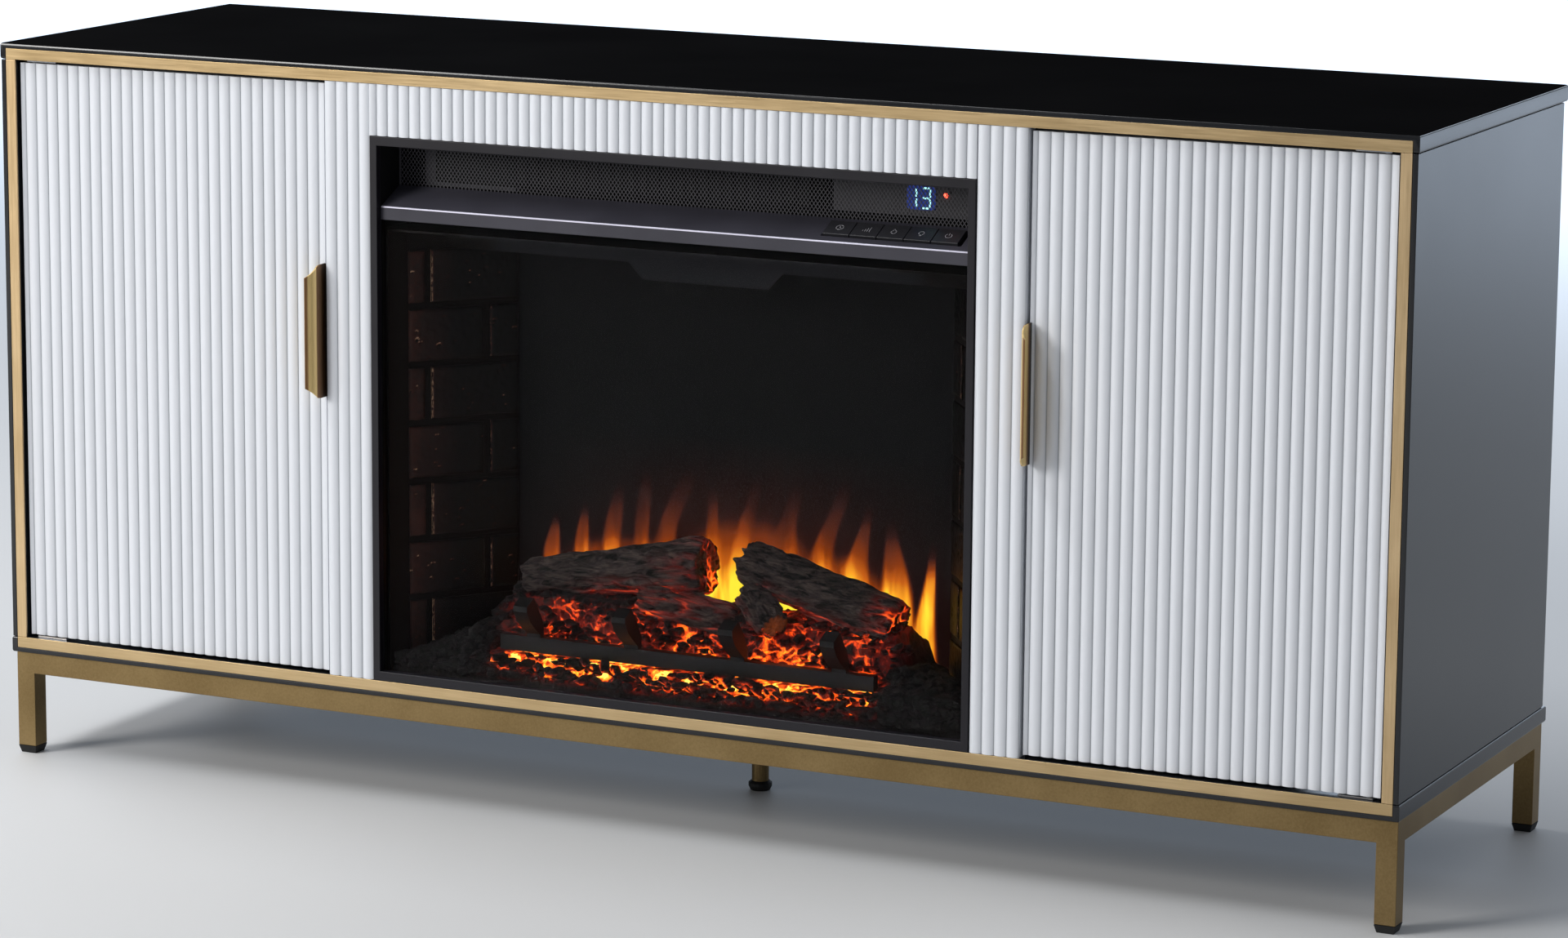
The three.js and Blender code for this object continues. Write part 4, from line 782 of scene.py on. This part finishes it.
KEY_SYMBOLS = {
    "timer_key": [arc_points((0, 0), 2.6, 0, 360), [(0, 1.6), (0, 0), (1.2, -0.7)]],
    "heat_key": [[(-2.4, -2.4), (-2.4, -0.9)], [(-0.8, -2.4), (-0.8, 0.3)], [(0.8, -2.4), (0.8, 1.5)],
                 [(2.4, -2.4), (2.4, 2.6)]],
    "flame_key": [[(0.2, -2.6), (-1.6, -1.7), (-1.9, -0.3), (-0.9, 1.0), (-0.5, 2.8), (0.8, 1.5), (1.1, 0.4),
                   (1.7, 0.9), (1.9, -0.6), (1.4, -2.0), (0.2, -2.6)]],
    "light_key": [arc_points((0, 0.5), 1.9, -60, 240), [(-0.9, -1.9), (0.9, -1.9)], [(-0.6, -2.7), (0.6, -2.7)]],
    "power_key": [arc_points((0, -0.2), 2.3, 125, 415), [(0, 0.3), (0, 2.8)]],
}


def stroke(vertices, faces, points, width, place):
    """A thin raised line along the points; place turns two flat lengths and a height into a point"""
    flat = [Vector(point) for point in points]
    closed = (flat[0] - flat[-1]).length < 1e-6
    base = len(vertices)
    for index, point in enumerate(flat):
        before = flat[index - 1] if index else (flat[-2] if closed else point)
        after = flat[index + 1] if index < len(flat) - 1 else (flat[1] if closed else point)
        along = (after - before).normalized()
        side = Vector((-along.y, along.x)) * width / 2
        for spot, height in ((point - side, 0), (point + side, 0), (point - side, 1), (point + side, 1)):
            vertices.append(place(spot.x, spot.y, height))
    for index in range(len(flat) - 1):
        row = base + index * 4
        for a, b in ((2, 3), (3, 1), (0, 2)):
            faces.append((row + a, row + 4 + a, row + 4 + b, row + b))
    end = base + (len(flat) - 1) * 4
    faces += [(base, base + 2, base + 3, base + 1), (end + 1, end + 3, end + 2, end)]


def key_symbols():
    """A symbol on each key's sloping face"""
    up = Vector((0, math.cos(KEY_SLOPE), math.sin(KEY_SLOPE)))
    out = Vector((0, -math.sin(KEY_SLOPE), math.cos(KEY_SLOPE)))
    for node, lines in KEY_SYMBOLS.items():
        corners = [Vector(vertex.co) / MM for vertex in frame["nodes"][node].data.vertices]
        top = max(corner.dot(out) for corner in corners)
        along = [corner.dot(up) for corner in corners]
        across = [corner.x for corner in corners]
        centre_x = (min(across) + max(across)) / 2
        centre_up = (min(along) + max(along)) / 2

        def place(u, v, height):
            point = up * (centre_up + v) + out * (top + SYMBOL_RELIEF * height - SUNK)
            return (centre_x + u, point.y, point.z)

        vertices, faces = [], []
        for points in lines:
            stroke(vertices, faces, [(u * SYMBOL_SCALE, v * SYMBOL_SCALE) for u, v in points], SYMBOL_LINE, place)
        add_piece(f"{node}_symbol", node, vertices, faces, "icon")


SEGMENTS = {
    "a": ((-1, 2), (1, 2)), "b": ((1, 2), (1, 0)), "c": ((1, 0), (1, -2)), "d": ((-1, -2), (1, -2)),
    "g": ((-1, 0), (1, 0)),
}
FIGURES = ("bc", "abgcd")


def display_window(centre, face):
    """The lit window behind the figures, with rounded corners"""
    outline = []
    for step in range(WINDOW_STEPS):
        turn = math.tau * (step + 0.5) / WINDOW_STEPS
        outline.append([middle + half * math.copysign(abs(reach) ** WINDOW_CORNER, reach)
                        for middle, half, reach in zip(centre, WINDOW_HALF, (math.cos(turn), math.sin(turn)))])
    vertices = [(x, face - depth, z) for depth in (0.0, WINDOW_RELIEF) for x, z in outline]
    faces = grid(WINDOW_STEPS, 1, closed=True) + [list(range(WINDOW_STEPS, WINDOW_STEPS * 2))]
    add_piece("display_window", "display_module", vertices, faces, "window")


def lit_figures(left, centre_z, face):
    """Two seven-bar figures"""
    vertices, faces = [], []
    for index, lit in enumerate(FIGURES):
        centre_x = left + index * DIGIT_PITCH + DIGIT_WIDTH / 2

        def place(u, v, height):
            return (centre_x + u, face - DIGIT_RELIEF * height, centre_z + v)

        for name in lit:
            start, end = (Vector((x * DIGIT_WIDTH * DIGIT_ARM, z * DIGIT_HEIGHT * DIGIT_RISE))
                          for x, z in SEGMENTS[name])
            trim = (end - start).normalized() * DIGIT_GAP
            stroke(vertices, faces, [start + trim, end - trim], DIGIT_LINE, place)
    add_piece("lit_figures", "display_module", vertices, faces, "digits")


def lit_lamp(centre, face):
    """A small round lamp"""
    vertices = [(x, face - height, z) for radius, height in LAMP_RINGS
                for x, z in arc_points(centre, radius, 0, 360, LAMP_STEPS)[:-1]]
    last = len(LAMP_RINGS) - 1
    faces = grid(LAMP_STEPS, last, closed=True) + [list(range(last * LAMP_STEPS, len(vertices)))]
    add_piece("lit_lamp", "display_module", vertices, faces, "lamp", True)


def display_face():
    """What is lit on the display's face"""
    low, high = node_box("display_module")
    left, top = high[0] - DIGITS_FROM_END, high[2] - DIGIT_FROM_TOP
    face = low[1] - SUNK
    middle = top - DIGIT_HEIGHT / 2
    display_window((left + DIGIT_PITCH + WINDOW_SHIFT, middle), face)
    face -= WINDOW_RELIEF
    lit_figures(left, middle, face)
    lit_lamp((left + DIGIT_PITCH * 2 + DIGIT_WIDTH, top - DIGIT_WIDTH / 2), face)


# Flame screen

def flame_heat(x, z):
    """How bright the flames are at a point of the screen"""
    if z < FLAME_FOOT:
        return 0.0
    dark = 1.0
    for base_x, base_z, tip_x, tip_z, half, sway, bright in TONGUES:
        up = max(0.0, (z - base_z) / (tip_z - base_z))
        if up < 1:
            centre = base_x + (tip_x - base_x) * up ** 1.4 + sway * math.sin(up * math.pi * 1.6)
            width = half * (1 - up) ** 0.5 * (1 + 0.18 * math.sin(up * 5 + base_x))
            body = smooth_step(1.25 - abs(x - centre) / max(width, 0.5), 0.0, 0.55)
            dark *= 1 - bright * body * smooth_step(1 - up, 0.0, 0.3)
    for centre_x, centre_z, wide, high, bright in FLAME_BODIES:
        away = math.hypot((x - centre_x) / wide, (z - centre_z) / high)
        dark *= 1 - bright * smooth_step(1.35 - away, 0.0, 0.6)
    ripple = lumps(x / 16, 3.1, z / 60)
    haze = 0.34 * math.exp(-((x - 25) / 130) ** 2)
    return min(1.0, along_table(FLAME_LEVELS, z) * (1 - dark * (1 - haze)) * (1 + 0.16 * ripple))


def flame_screen():
    """The smoked screen behind the logs, with the flames on its face"""
    low, high = node_box("flame_screen")
    xs = spread(low[0], high[0], int((high[0] - low[0]) / SCREEN_STEP))
    zs = [low[2]]
    while zs[-1] < high[2] - SCREEN_STEP:
        step = SCREEN_STEP if FLAME_FOOT - 4 < zs[-1] < FLAME_TOP else SCREEN_STEP * 4
        zs.append(min(zs[-1] + step, high[2] - SCREEN_STEP / 2))
    zs.append(high[2])
    vertices = [(x, low[1], z) for z in zs for x in xs]
    row = len(xs)
    back = len(vertices)
    vertices += [(low[0], high[1], low[2]), (high[0], high[1], low[2]),
                 (high[0], high[1], high[2]), (low[0], high[1], high[2])]
    heat = [flame_heat(x, z) for z in zs for x in xs] + [0.0] * 4
    top = back - row
    faces = grid(row - 1, len(zs) - 1)
    faces += [(back + 3, back + 2, back + 1, back), (0, back, back + 1, row - 1),
              (top + row - 1, back + 2, back + 3, top), (top, back + 3, back, 0),
              (row - 1, back + 1, back + 2, top + row - 1)]
    piece = add_piece("flame_sheet", "flame_screen", vertices, faces, glow=heat)
    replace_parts(piece, "flame_screen")


# Brick walls

def wall_frame(side):
    """The start of the sloping wall's face, its direction in x and y, its inward normal and its length"""
    start = Vector((side * WALL_FRONT, WALL_BEND))
    end = Vector((side * WALL_BACK, WALL_END))
    along = (end - start).normalized()
    return start, along, Vector((-side * along.y, side * along.x)), (end - start).length


def brick_pits(along0, along1, z0, z1, seed):
    """The pits in a brick's face: their place along the wall, height and radius"""
    pits = []
    for index in range(max(2, int((along1 - along0) * (z1 - z0) / PIT_SPACE))):
        u = lumps(seed, index * 7.31, 0.5) * 1.1
        v = lumps(index * 3.77, seed, 8.5) * 1.1
        pits.append((along0 + (along1 - along0) * (0.5 + u * 0.8), z0 + (z1 - z0) * (0.5 + v * 0.8),
                     PIT_SIZE[0] + abs(lumps(index, seed, 2.0)) * PIT_SIZE[1]))
    return pits


def brick(vertices, faces, painted_highlight, wall, along0, along1, z0, z1, seed, edge_highlight):
    """One brick: a pitted face with rounded-off edges, closed round its sides, and the painted highlight at each
    vertex
    """
    start, along, inward, _ = wall
    columns = max(2, int((along1 - along0) / BRICK_STEP))
    rows = max(2, int((z1 - z0) / BRICK_STEP))
    pits = brick_pits(along0, along1, z0, z1, seed)
    base = len(vertices)
    for v in spread(z0, z1, rows):
        for u in spread(along0, along1, columns):
            edge = min(u - along0, along1 - u, v - z0, z1 - v)
            height = BRICK_PROUD - BRICK_DROP * (1 - smooth_step(edge, 0.0, BRICK_EDGE))
            height += 0.35 * lumps(u / 5 + seed, v / 5, seed)
            height += 0.18 * lumps(u / 1.7 + seed, v / 1.7, seed)
            lip = 0.0
            for pit_u, pit_v, radius in pits:
                away = ((u - pit_u) ** 2 + (v - pit_v) ** 2) / radius ** 2
                if away < 4:
                    height -= PIT_DEPTH * math.exp(-away * 1.6)
                    # A painted highlight on the upper rim of each pit
                    lip = max(lip, math.exp(-(away - 1.2) ** 2 * 3) * smooth_step(v - pit_v, 0.0, radius))
            flat = start + along * u + inward * height
            vertices.append((flat.x, flat.y, v))
            # Painted highlight: a bright line at the brick's starting end, where given, and on the pits' upper rims
            painted_highlight.append(max(edge_highlight * (1 - smooth_step(u - along0, 0.0, BRICK_EDGE)), PIT_HIGHLIGHT * lip))
    faces += grid(columns, rows, base)
    wide = columns + 1
    rim = ([base + i for i in range(wide)] + [base + j * wide + columns for j in range(1, rows + 1)]
           + [base + rows * wide + i for i in range(columns - 1, -1, -1)]
           + [base + j * wide for j in range(rows - 1, 0, -1)])
    foot = len(vertices)
    for index in rim:
        x, y, z = vertices[index]
        away = (Vector((x, y)) - start).dot(inward) + 0.4
        vertices.append((x - inward.x * away, y - inward.y * away, z))
        painted_highlight.append(painted_highlight[index])
    for index in range(len(rim)):
        after = (index + 1) % len(rim)
        faces.append((rim[index], foot + index, foot + after, rim[after]))


def brick_walls():
    """Bricks on both sloping walls, in the bond of the liner"""
    for word, side in (("left", -1), ("right", 1)):
        wall = wall_frame(side)
        vertices, faces, painted_highlight = [], [], []
        for row in range(BRICK_ROWS):
            z0 = BRICK_FOOT + row * BRICK_PITCH
            joint = BRICK_HALF + BRICK_LENGTH / 2 * (row % 2)
            for index, ends in enumerate(((BRICK_GAP, joint), (joint + BRICK_JOINT, wall[3] - BRICK_GAP))):
                brick(vertices, faces, painted_highlight, wall, *ends, z0, z0 + BRICK_PITCH - BRICK_JOINT,
                      row * 2.7 + index + side * 31, BRICK_HIGHLIGHT * index)
        if side > 0:
            faces = [face[::-1] for face in faces]
        add_piece(f"{word}_bricks", "firebox_liner", vertices, faces, "brick", True, painted_highlight)


# Logs and embers

def burnt_log(name, start, end, radius0, radius1, seed, hot, tear=LOG_TEAR):
    """A charred log: lumps, bark plates and splits, with torn ends; hot gives the heat at a point"""
    start, end = Vector(start), Vector(end)
    axis = (end - start).normalized()
    side = axis.cross(Vector((0, 0, 1))).normalized()
    up = side.cross(axis)
    length = (end - start).length
    around = LOG_STEPS_AROUND
    vertices, heat = [], []

    def add(share, turn, inner):
        """A vertex at a share of the length and a turn about it; inner leads from the bark to an end's centre"""
        outward = 1 if share else -1
        across, rise = math.cos(turn), math.sin(turn)
        direction = side * across + up * rise
        radius = (radius0 + (radius1 - radius0) * share) * LOG_FULL
        torn = 0.0
        if share in (0.0, 1.0):
            torn = (LOG_TEAR if share else tear) * lumps(across * 2.2, rise * 2.2, seed + share * 3)
            torn += LOG_RAGGED * lumps(across * 6, rise * 6, seed + share * 9)
        along = share * length
        spot = Vector((across * radius, rise * radius, along))
        lump = lumps(spot.x / LUMP[0], spot.y / LUMP[0], spot.z / LUMP[1] + seed)
        plate = lumps(spot.x / PLATE[0] + seed, spot.y / PLATE[0], spot.z / PLATE[1])
        split = abs(lumps(spot.x / SPLIT[0], spot.y / SPLIT[0] + seed, spot.z / SPLIT[1]))
        grain = lumps(spot.x / GRAIN[0], spot.y / GRAIN[0], spot.z / GRAIN[1] + seed)
        reach = radius * (1 + LUMP_SHARE * lump) + PLATE_RISE * plate
        reach = reach - SPLIT_DEPTH * max(0.0, SPLIT_WIDTH - split) / SPLIT_WIDTH + GRAIN_RISE * grain
        reach -= LOG_END_DROP * (1 - smooth_step(min(along, length - along), 0.0, LOG_END_RUN))
        point = start + axis * (along + torn * (1 - inner) * outward) + direction * reach * (1 - inner)
        if inner:
            dish = lumps(spot.x * (1 - inner) / 6, spot.y * (1 - inner) / 6, seed * 2 + share)
            point += axis * (dish * LOG_DISH) * outward
        vertices.append(tuple(point))
        depth = 1.0 if inner else 0.35 + 0.65 * (1 - smooth_step(split, 0.0, 0.3))
        heat.append(min(1.0, max(0.0, hot(-direction.z, share, inner) * depth)))

    rings = [(0.0, inner) for inner in reversed(LOG_CAP)]
    rings += [(share, 0.0) for share in spread(0.0, 1.0, int(length / LOG_STEP))]
    rings += [(1.0, inner) for inner in LOG_CAP]
    for share, inner in rings:
        for step in range(around):
            add(share, math.tau * step / around, inner)
    last = len(rings) - 1
    faces = grid(around, last, closed=True)
    faces += [list(range(around))[::-1], list(range(last * around, len(vertices)))]
    return add_piece(name, "log_set", vertices, faces, smooth=True, glow=heat)


def bed_height(x, y):
    """The bed's height at a point, as low as the lower of its two profiles"""
    return min(along_table(BED_PROFILE, y), along_table(BED_SIDES, abs(x)))


def bed_half(y):
    """Half the bed's width at a depth: it narrows where the walls slope"""
    return BED_HALF - (BED_HALF - BED_BACK_HALF) * max(0.0, y - WALL_BEND) / (WALL_END - WALL_BEND)


def bed_heat(x, y):
    """How hot the ember bed is: along the middle, before and behind the grate's bar"""
    across = 1 - smooth_step(abs(x), 168, 205)
    depth = (1.3 - 0.3 * smooth_step(y, -152, -146)) * smooth_step(y, -171, -158)
    depth *= 1 - 0.5 * smooth_step(y, -136, -118) - 0.2 * smooth_step(y, -108, -80)
    patch = 0.5 + 0.5 * lumps(x / 30, y / 18, 4.4)
    return across * depth * (0.55 + 0.75 * patch)


def ember_bed():
    """The glowing bed under the logs"""
    columns = int(2 * BED_HALF / BED_STEP)
    rows = int((BED_BACK - BED_FRONT) / BED_STEP)
    vertices, heat = [], []
    for y in spread(BED_FRONT, BED_BACK, rows):
        for x in spread(-bed_half(y), bed_half(y), columns):
            rough = 2.2 * lumps(x / 9, y / 9, 0) + 1.6 * lumps(x / 3.5, y / 3.5, 5)
            under_bar = 1 - 0.8 * (1 - smooth_step(abs(y - BAR_PLACE), 6, 12))
            vertices.append((x, y, bed_height(x, y) - BED_SUNK + rough * under_bar))
            heat.append(bed_heat(x, y))
    edge = len(vertices)
    vertices += [(x, y, BED_FOOT) for x, y, _ in vertices[:columns + 1]]
    heat += [0.0] * (columns + 1)
    faces = grid(columns, rows) + [(edge + i, edge + i + 1, i + 1, i) for i in range(columns)]
    add_piece("ember_bed", "log_set", vertices, faces, "ember", True, heat)


def chunk(vertices, faces, heat, shape, centre, size, seed, hot):
    """A broken piece of charcoal"""
    spin = Matrix.Rotation(seed * 2.399, 3, "Z") @ Matrix.Rotation(math.sin(seed * 5.1) * 0.6, 3, "X")
    base = len(vertices)
    points, sides = shape
    for point in points:
        lump = 1 + 0.6 * noise.noise(point * 1.7 + Vector((seed, seed * 0.7, 0)))
        spot = spin @ Vector((point.x * size[0], point.y * size[1], point.z * size[2])) * lump
        vertices.append(tuple(Vector(centre) + spot))
        heat.append(min(1.0, hot * smooth_step(-point.z, -0.35, 0.6)))
    faces += [[base + corner for corner in side] for side in sides]


def icosphere(subdivisions):
    made = bmesh.new()
    bmesh.ops.create_icosphere(made, subdivisions=subdivisions, radius=1)
    shape = [vertex.co.copy() for vertex in made.verts], [[v.index for v in face.verts] for face in made.faces]
    made.free()
    return shape


def coals():
    """Charcoal over the bed: black pieces at the front and the sides, and splinters among the embers"""
    shapes = icosphere(1), icosphere(2)
    vertices, faces, heat = [], [], []
    for index in range(COAL_COUNT):
        u, v, w = ((index * turn) % 1.0 for turn in (0.754877666, 0.569840296, 0.438579))
        y = BED_FRONT + 5 + (COAL_BACK - BED_FRONT) * v ** 1.25
        x = (2 * u - 1) * (bed_half(y) - COAL_INSET)
        aside = abs(x) > COAL_SIDES
        hot = bed_heat(x, y)
        by_bar = abs(y - BAR_PLACE) < BAR_CLEAR and abs(x) < BAR_HALF
        by_stub = abs(x - STUB_PLACE) < STUB_HALF and y > STUB_FRONT
        if by_bar or by_stub or hot > COAL_HOT and w < COAL_THIN:
            continue
        size = 3.6 + 4.8 * w if aside else 2.4 + 4.6 * w ** 2
        long = 1.0 + 2.0 * ((index * 0.317) % 1.0) ** 2
        flat = 0.6 + 0.3 * ((index * 0.731) % 1.0)
        z = bed_height(x, y) + size * flat * 0.3 - 1.0
        chunk(vertices, faces, heat, shapes[aside], (x, y, z), (size * long, size, size * flat), index + 1.0, hot)
    return add_piece("coals", "log_set", vertices, faces, "coal", glow=heat)


def fire():
    """Logs, bed and coals in place of the moulded log set; under is how far a point of a log faces down"""
    def big_left(under, share, inner):
        heat = 0.34 * smooth_step(under, -0.1, 0.7) * smooth_step(share, 0.05, 0.25)
        heat += 0.5 * smooth_step(share, 0.68, 0.98)
        return min(heat, 0.66) if inner else heat

    def big_right(under, share, inner):
        heat = 0.8 * smooth_step(under, 0.0, 0.75) + 0.7 * smooth_step(share, 0.78, 0.98)
        return min(heat, 0.75) if inner else heat

    def low_left(under, share, inner):
        return 0.1 if inner and not share else 0.3 + 0.45 * smooth_step(under, -0.3, 0.7)

    def stub(under, share, inner):
        return 0.4 + 0.6 * inner if inner and not share else 0.4 * smooth_step(under, -0.2, 0.6)

    burnt_log("left_log", (-185, -97, 203), (-4, -93, 230), 17.5, 27, 1.3, big_left)
    burnt_log("right_log", (35, -93, 238.5), (185, -97, 193), 21.6, 25.6, 5.9, big_right, 11.0)
    burnt_log("low_log", (-60, -112, 201), (34, -110, 184), 16.2, 17, 9.2, low_left)
    cut = burnt_log("stub_log", (83.5, -135, 191), (45, -106, 212), 15.5, 17, 12.6, stub, 1.0)
    cut.data.materials.append(LOOKS["cut"])
    for polygon in cut.data.polygons:
        if max(polygon.vertices) < LOG_STEPS_AROUND * (len(LOG_CAP) + 0.5):
            polygon.material_index = 1
    ember_bed()
    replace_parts(coals(), "log_set")


def build_room():
    """Floor, soft lights and an even surrounding"""
    mesh = bpy.data.meshes.new("floor")
    corners = [(x * FLOOR_HALF, y * FLOOR_HALF, 0) for x, y in ((-1, -1), (1, -1), (1, 1), (-1, 1))]
    mesh.from_pydata(corners, [], [(0, 1, 2, 3)])
    mesh.materials.append(floor_look())
    floor = add_object("floor", mesh)
    floor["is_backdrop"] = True
    world = bpy.data.worlds.new("studio")
    world.use_nodes = True
    background = world.node_tree.nodes["Background"]
    background.inputs["Color"].default_value = ROOM_COLOR
    background.inputs["Strength"].default_value = ROOM_STRENGTH
    bpy.context.scene.world = world
    for name, place, target, width, height, power, color in LIGHTS:
        light = bpy.data.lights.new(name, "AREA")
        light.shape = "RECTANGLE"
        light.size, light.size_y, light.energy, light.color = width, height, power, color
        lamp = add_object(name, light)
        lamp.location = place
        aim = Vector(target) - Vector(place)
        lamp.rotation_euler = aim.to_track_quat("-Z", "Y").to_euler()


def build_camera():
    data = bpy.data.cameras.new("camera")
    data.sensor_fit = "HORIZONTAL"
    data.sensor_width = CAMERA_SENSOR
    data.lens = CAMERA_LENS
    data.clip_end = CAMERA_REACH
    camera = add_object("camera", data)
    camera.matrix_world = Matrix.Translation(CAMERA_PLACE) @ Matrix(CAMERA_AXES).transposed().to_4x4()
    bpy.context.scene.camera = camera


bpy.context.scene.view_settings.view_transform = "Standard"
build_camera()
for node, thing in frame["nodes"].items():
    thing.data.materials.clear()
    thing.data.materials.append(LOOKS["blower" if node.startswith("blower") else SLOT[node]])

top = dress("top_panel", BOARD_ROUNDING)
top.data.materials.append(LOOKS["matt"])
for polygon in top.data.polygons:
    if polygon.normal.z > 0.9:
        polygon.material_index = 1
for node in ("bottom_panel", "left_side_panel", "right_side_panel", "base_frame", "grate"):
    dress(node, BOARD_ROUNDING)
dress("front_bezel", BOARD_ROUNDING, "bezel")
dress("control_hood", HOOD_ROUNDING, segments=4)
hood_edge()
for word in ("left", "right"):
    dress(f"{word}_trim", TRIM_ROUNDING, "gold_up")
    flute(f"{word}_door", DOOR_FRONT, DOOR_PITCH, DOOR_FIRST)
    flute(f"{word}_fluted_stile", FIXED_FRONT, STILE_PITCH, STILE_PITCH)
for word in ("top", "bottom"):
    dress(f"{word}_trim", TRIM_ROUNDING)
flute("fluted_header", FIXED_FRONT, HEADER_PITCH, HEADER_FIRST)
handle("left", -1)
handle("right", 1)
for node in KEY_SYMBOLS:
    dress(node, KEY_ROUNDING)
key_symbols()
display_face()
outlet_mesh()
backing_plate()
flame_screen()
brick_walls()
fire()
build_room()

boxes = [[[float(value) for value in corner] for corner in box] for box in (cad_box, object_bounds())]
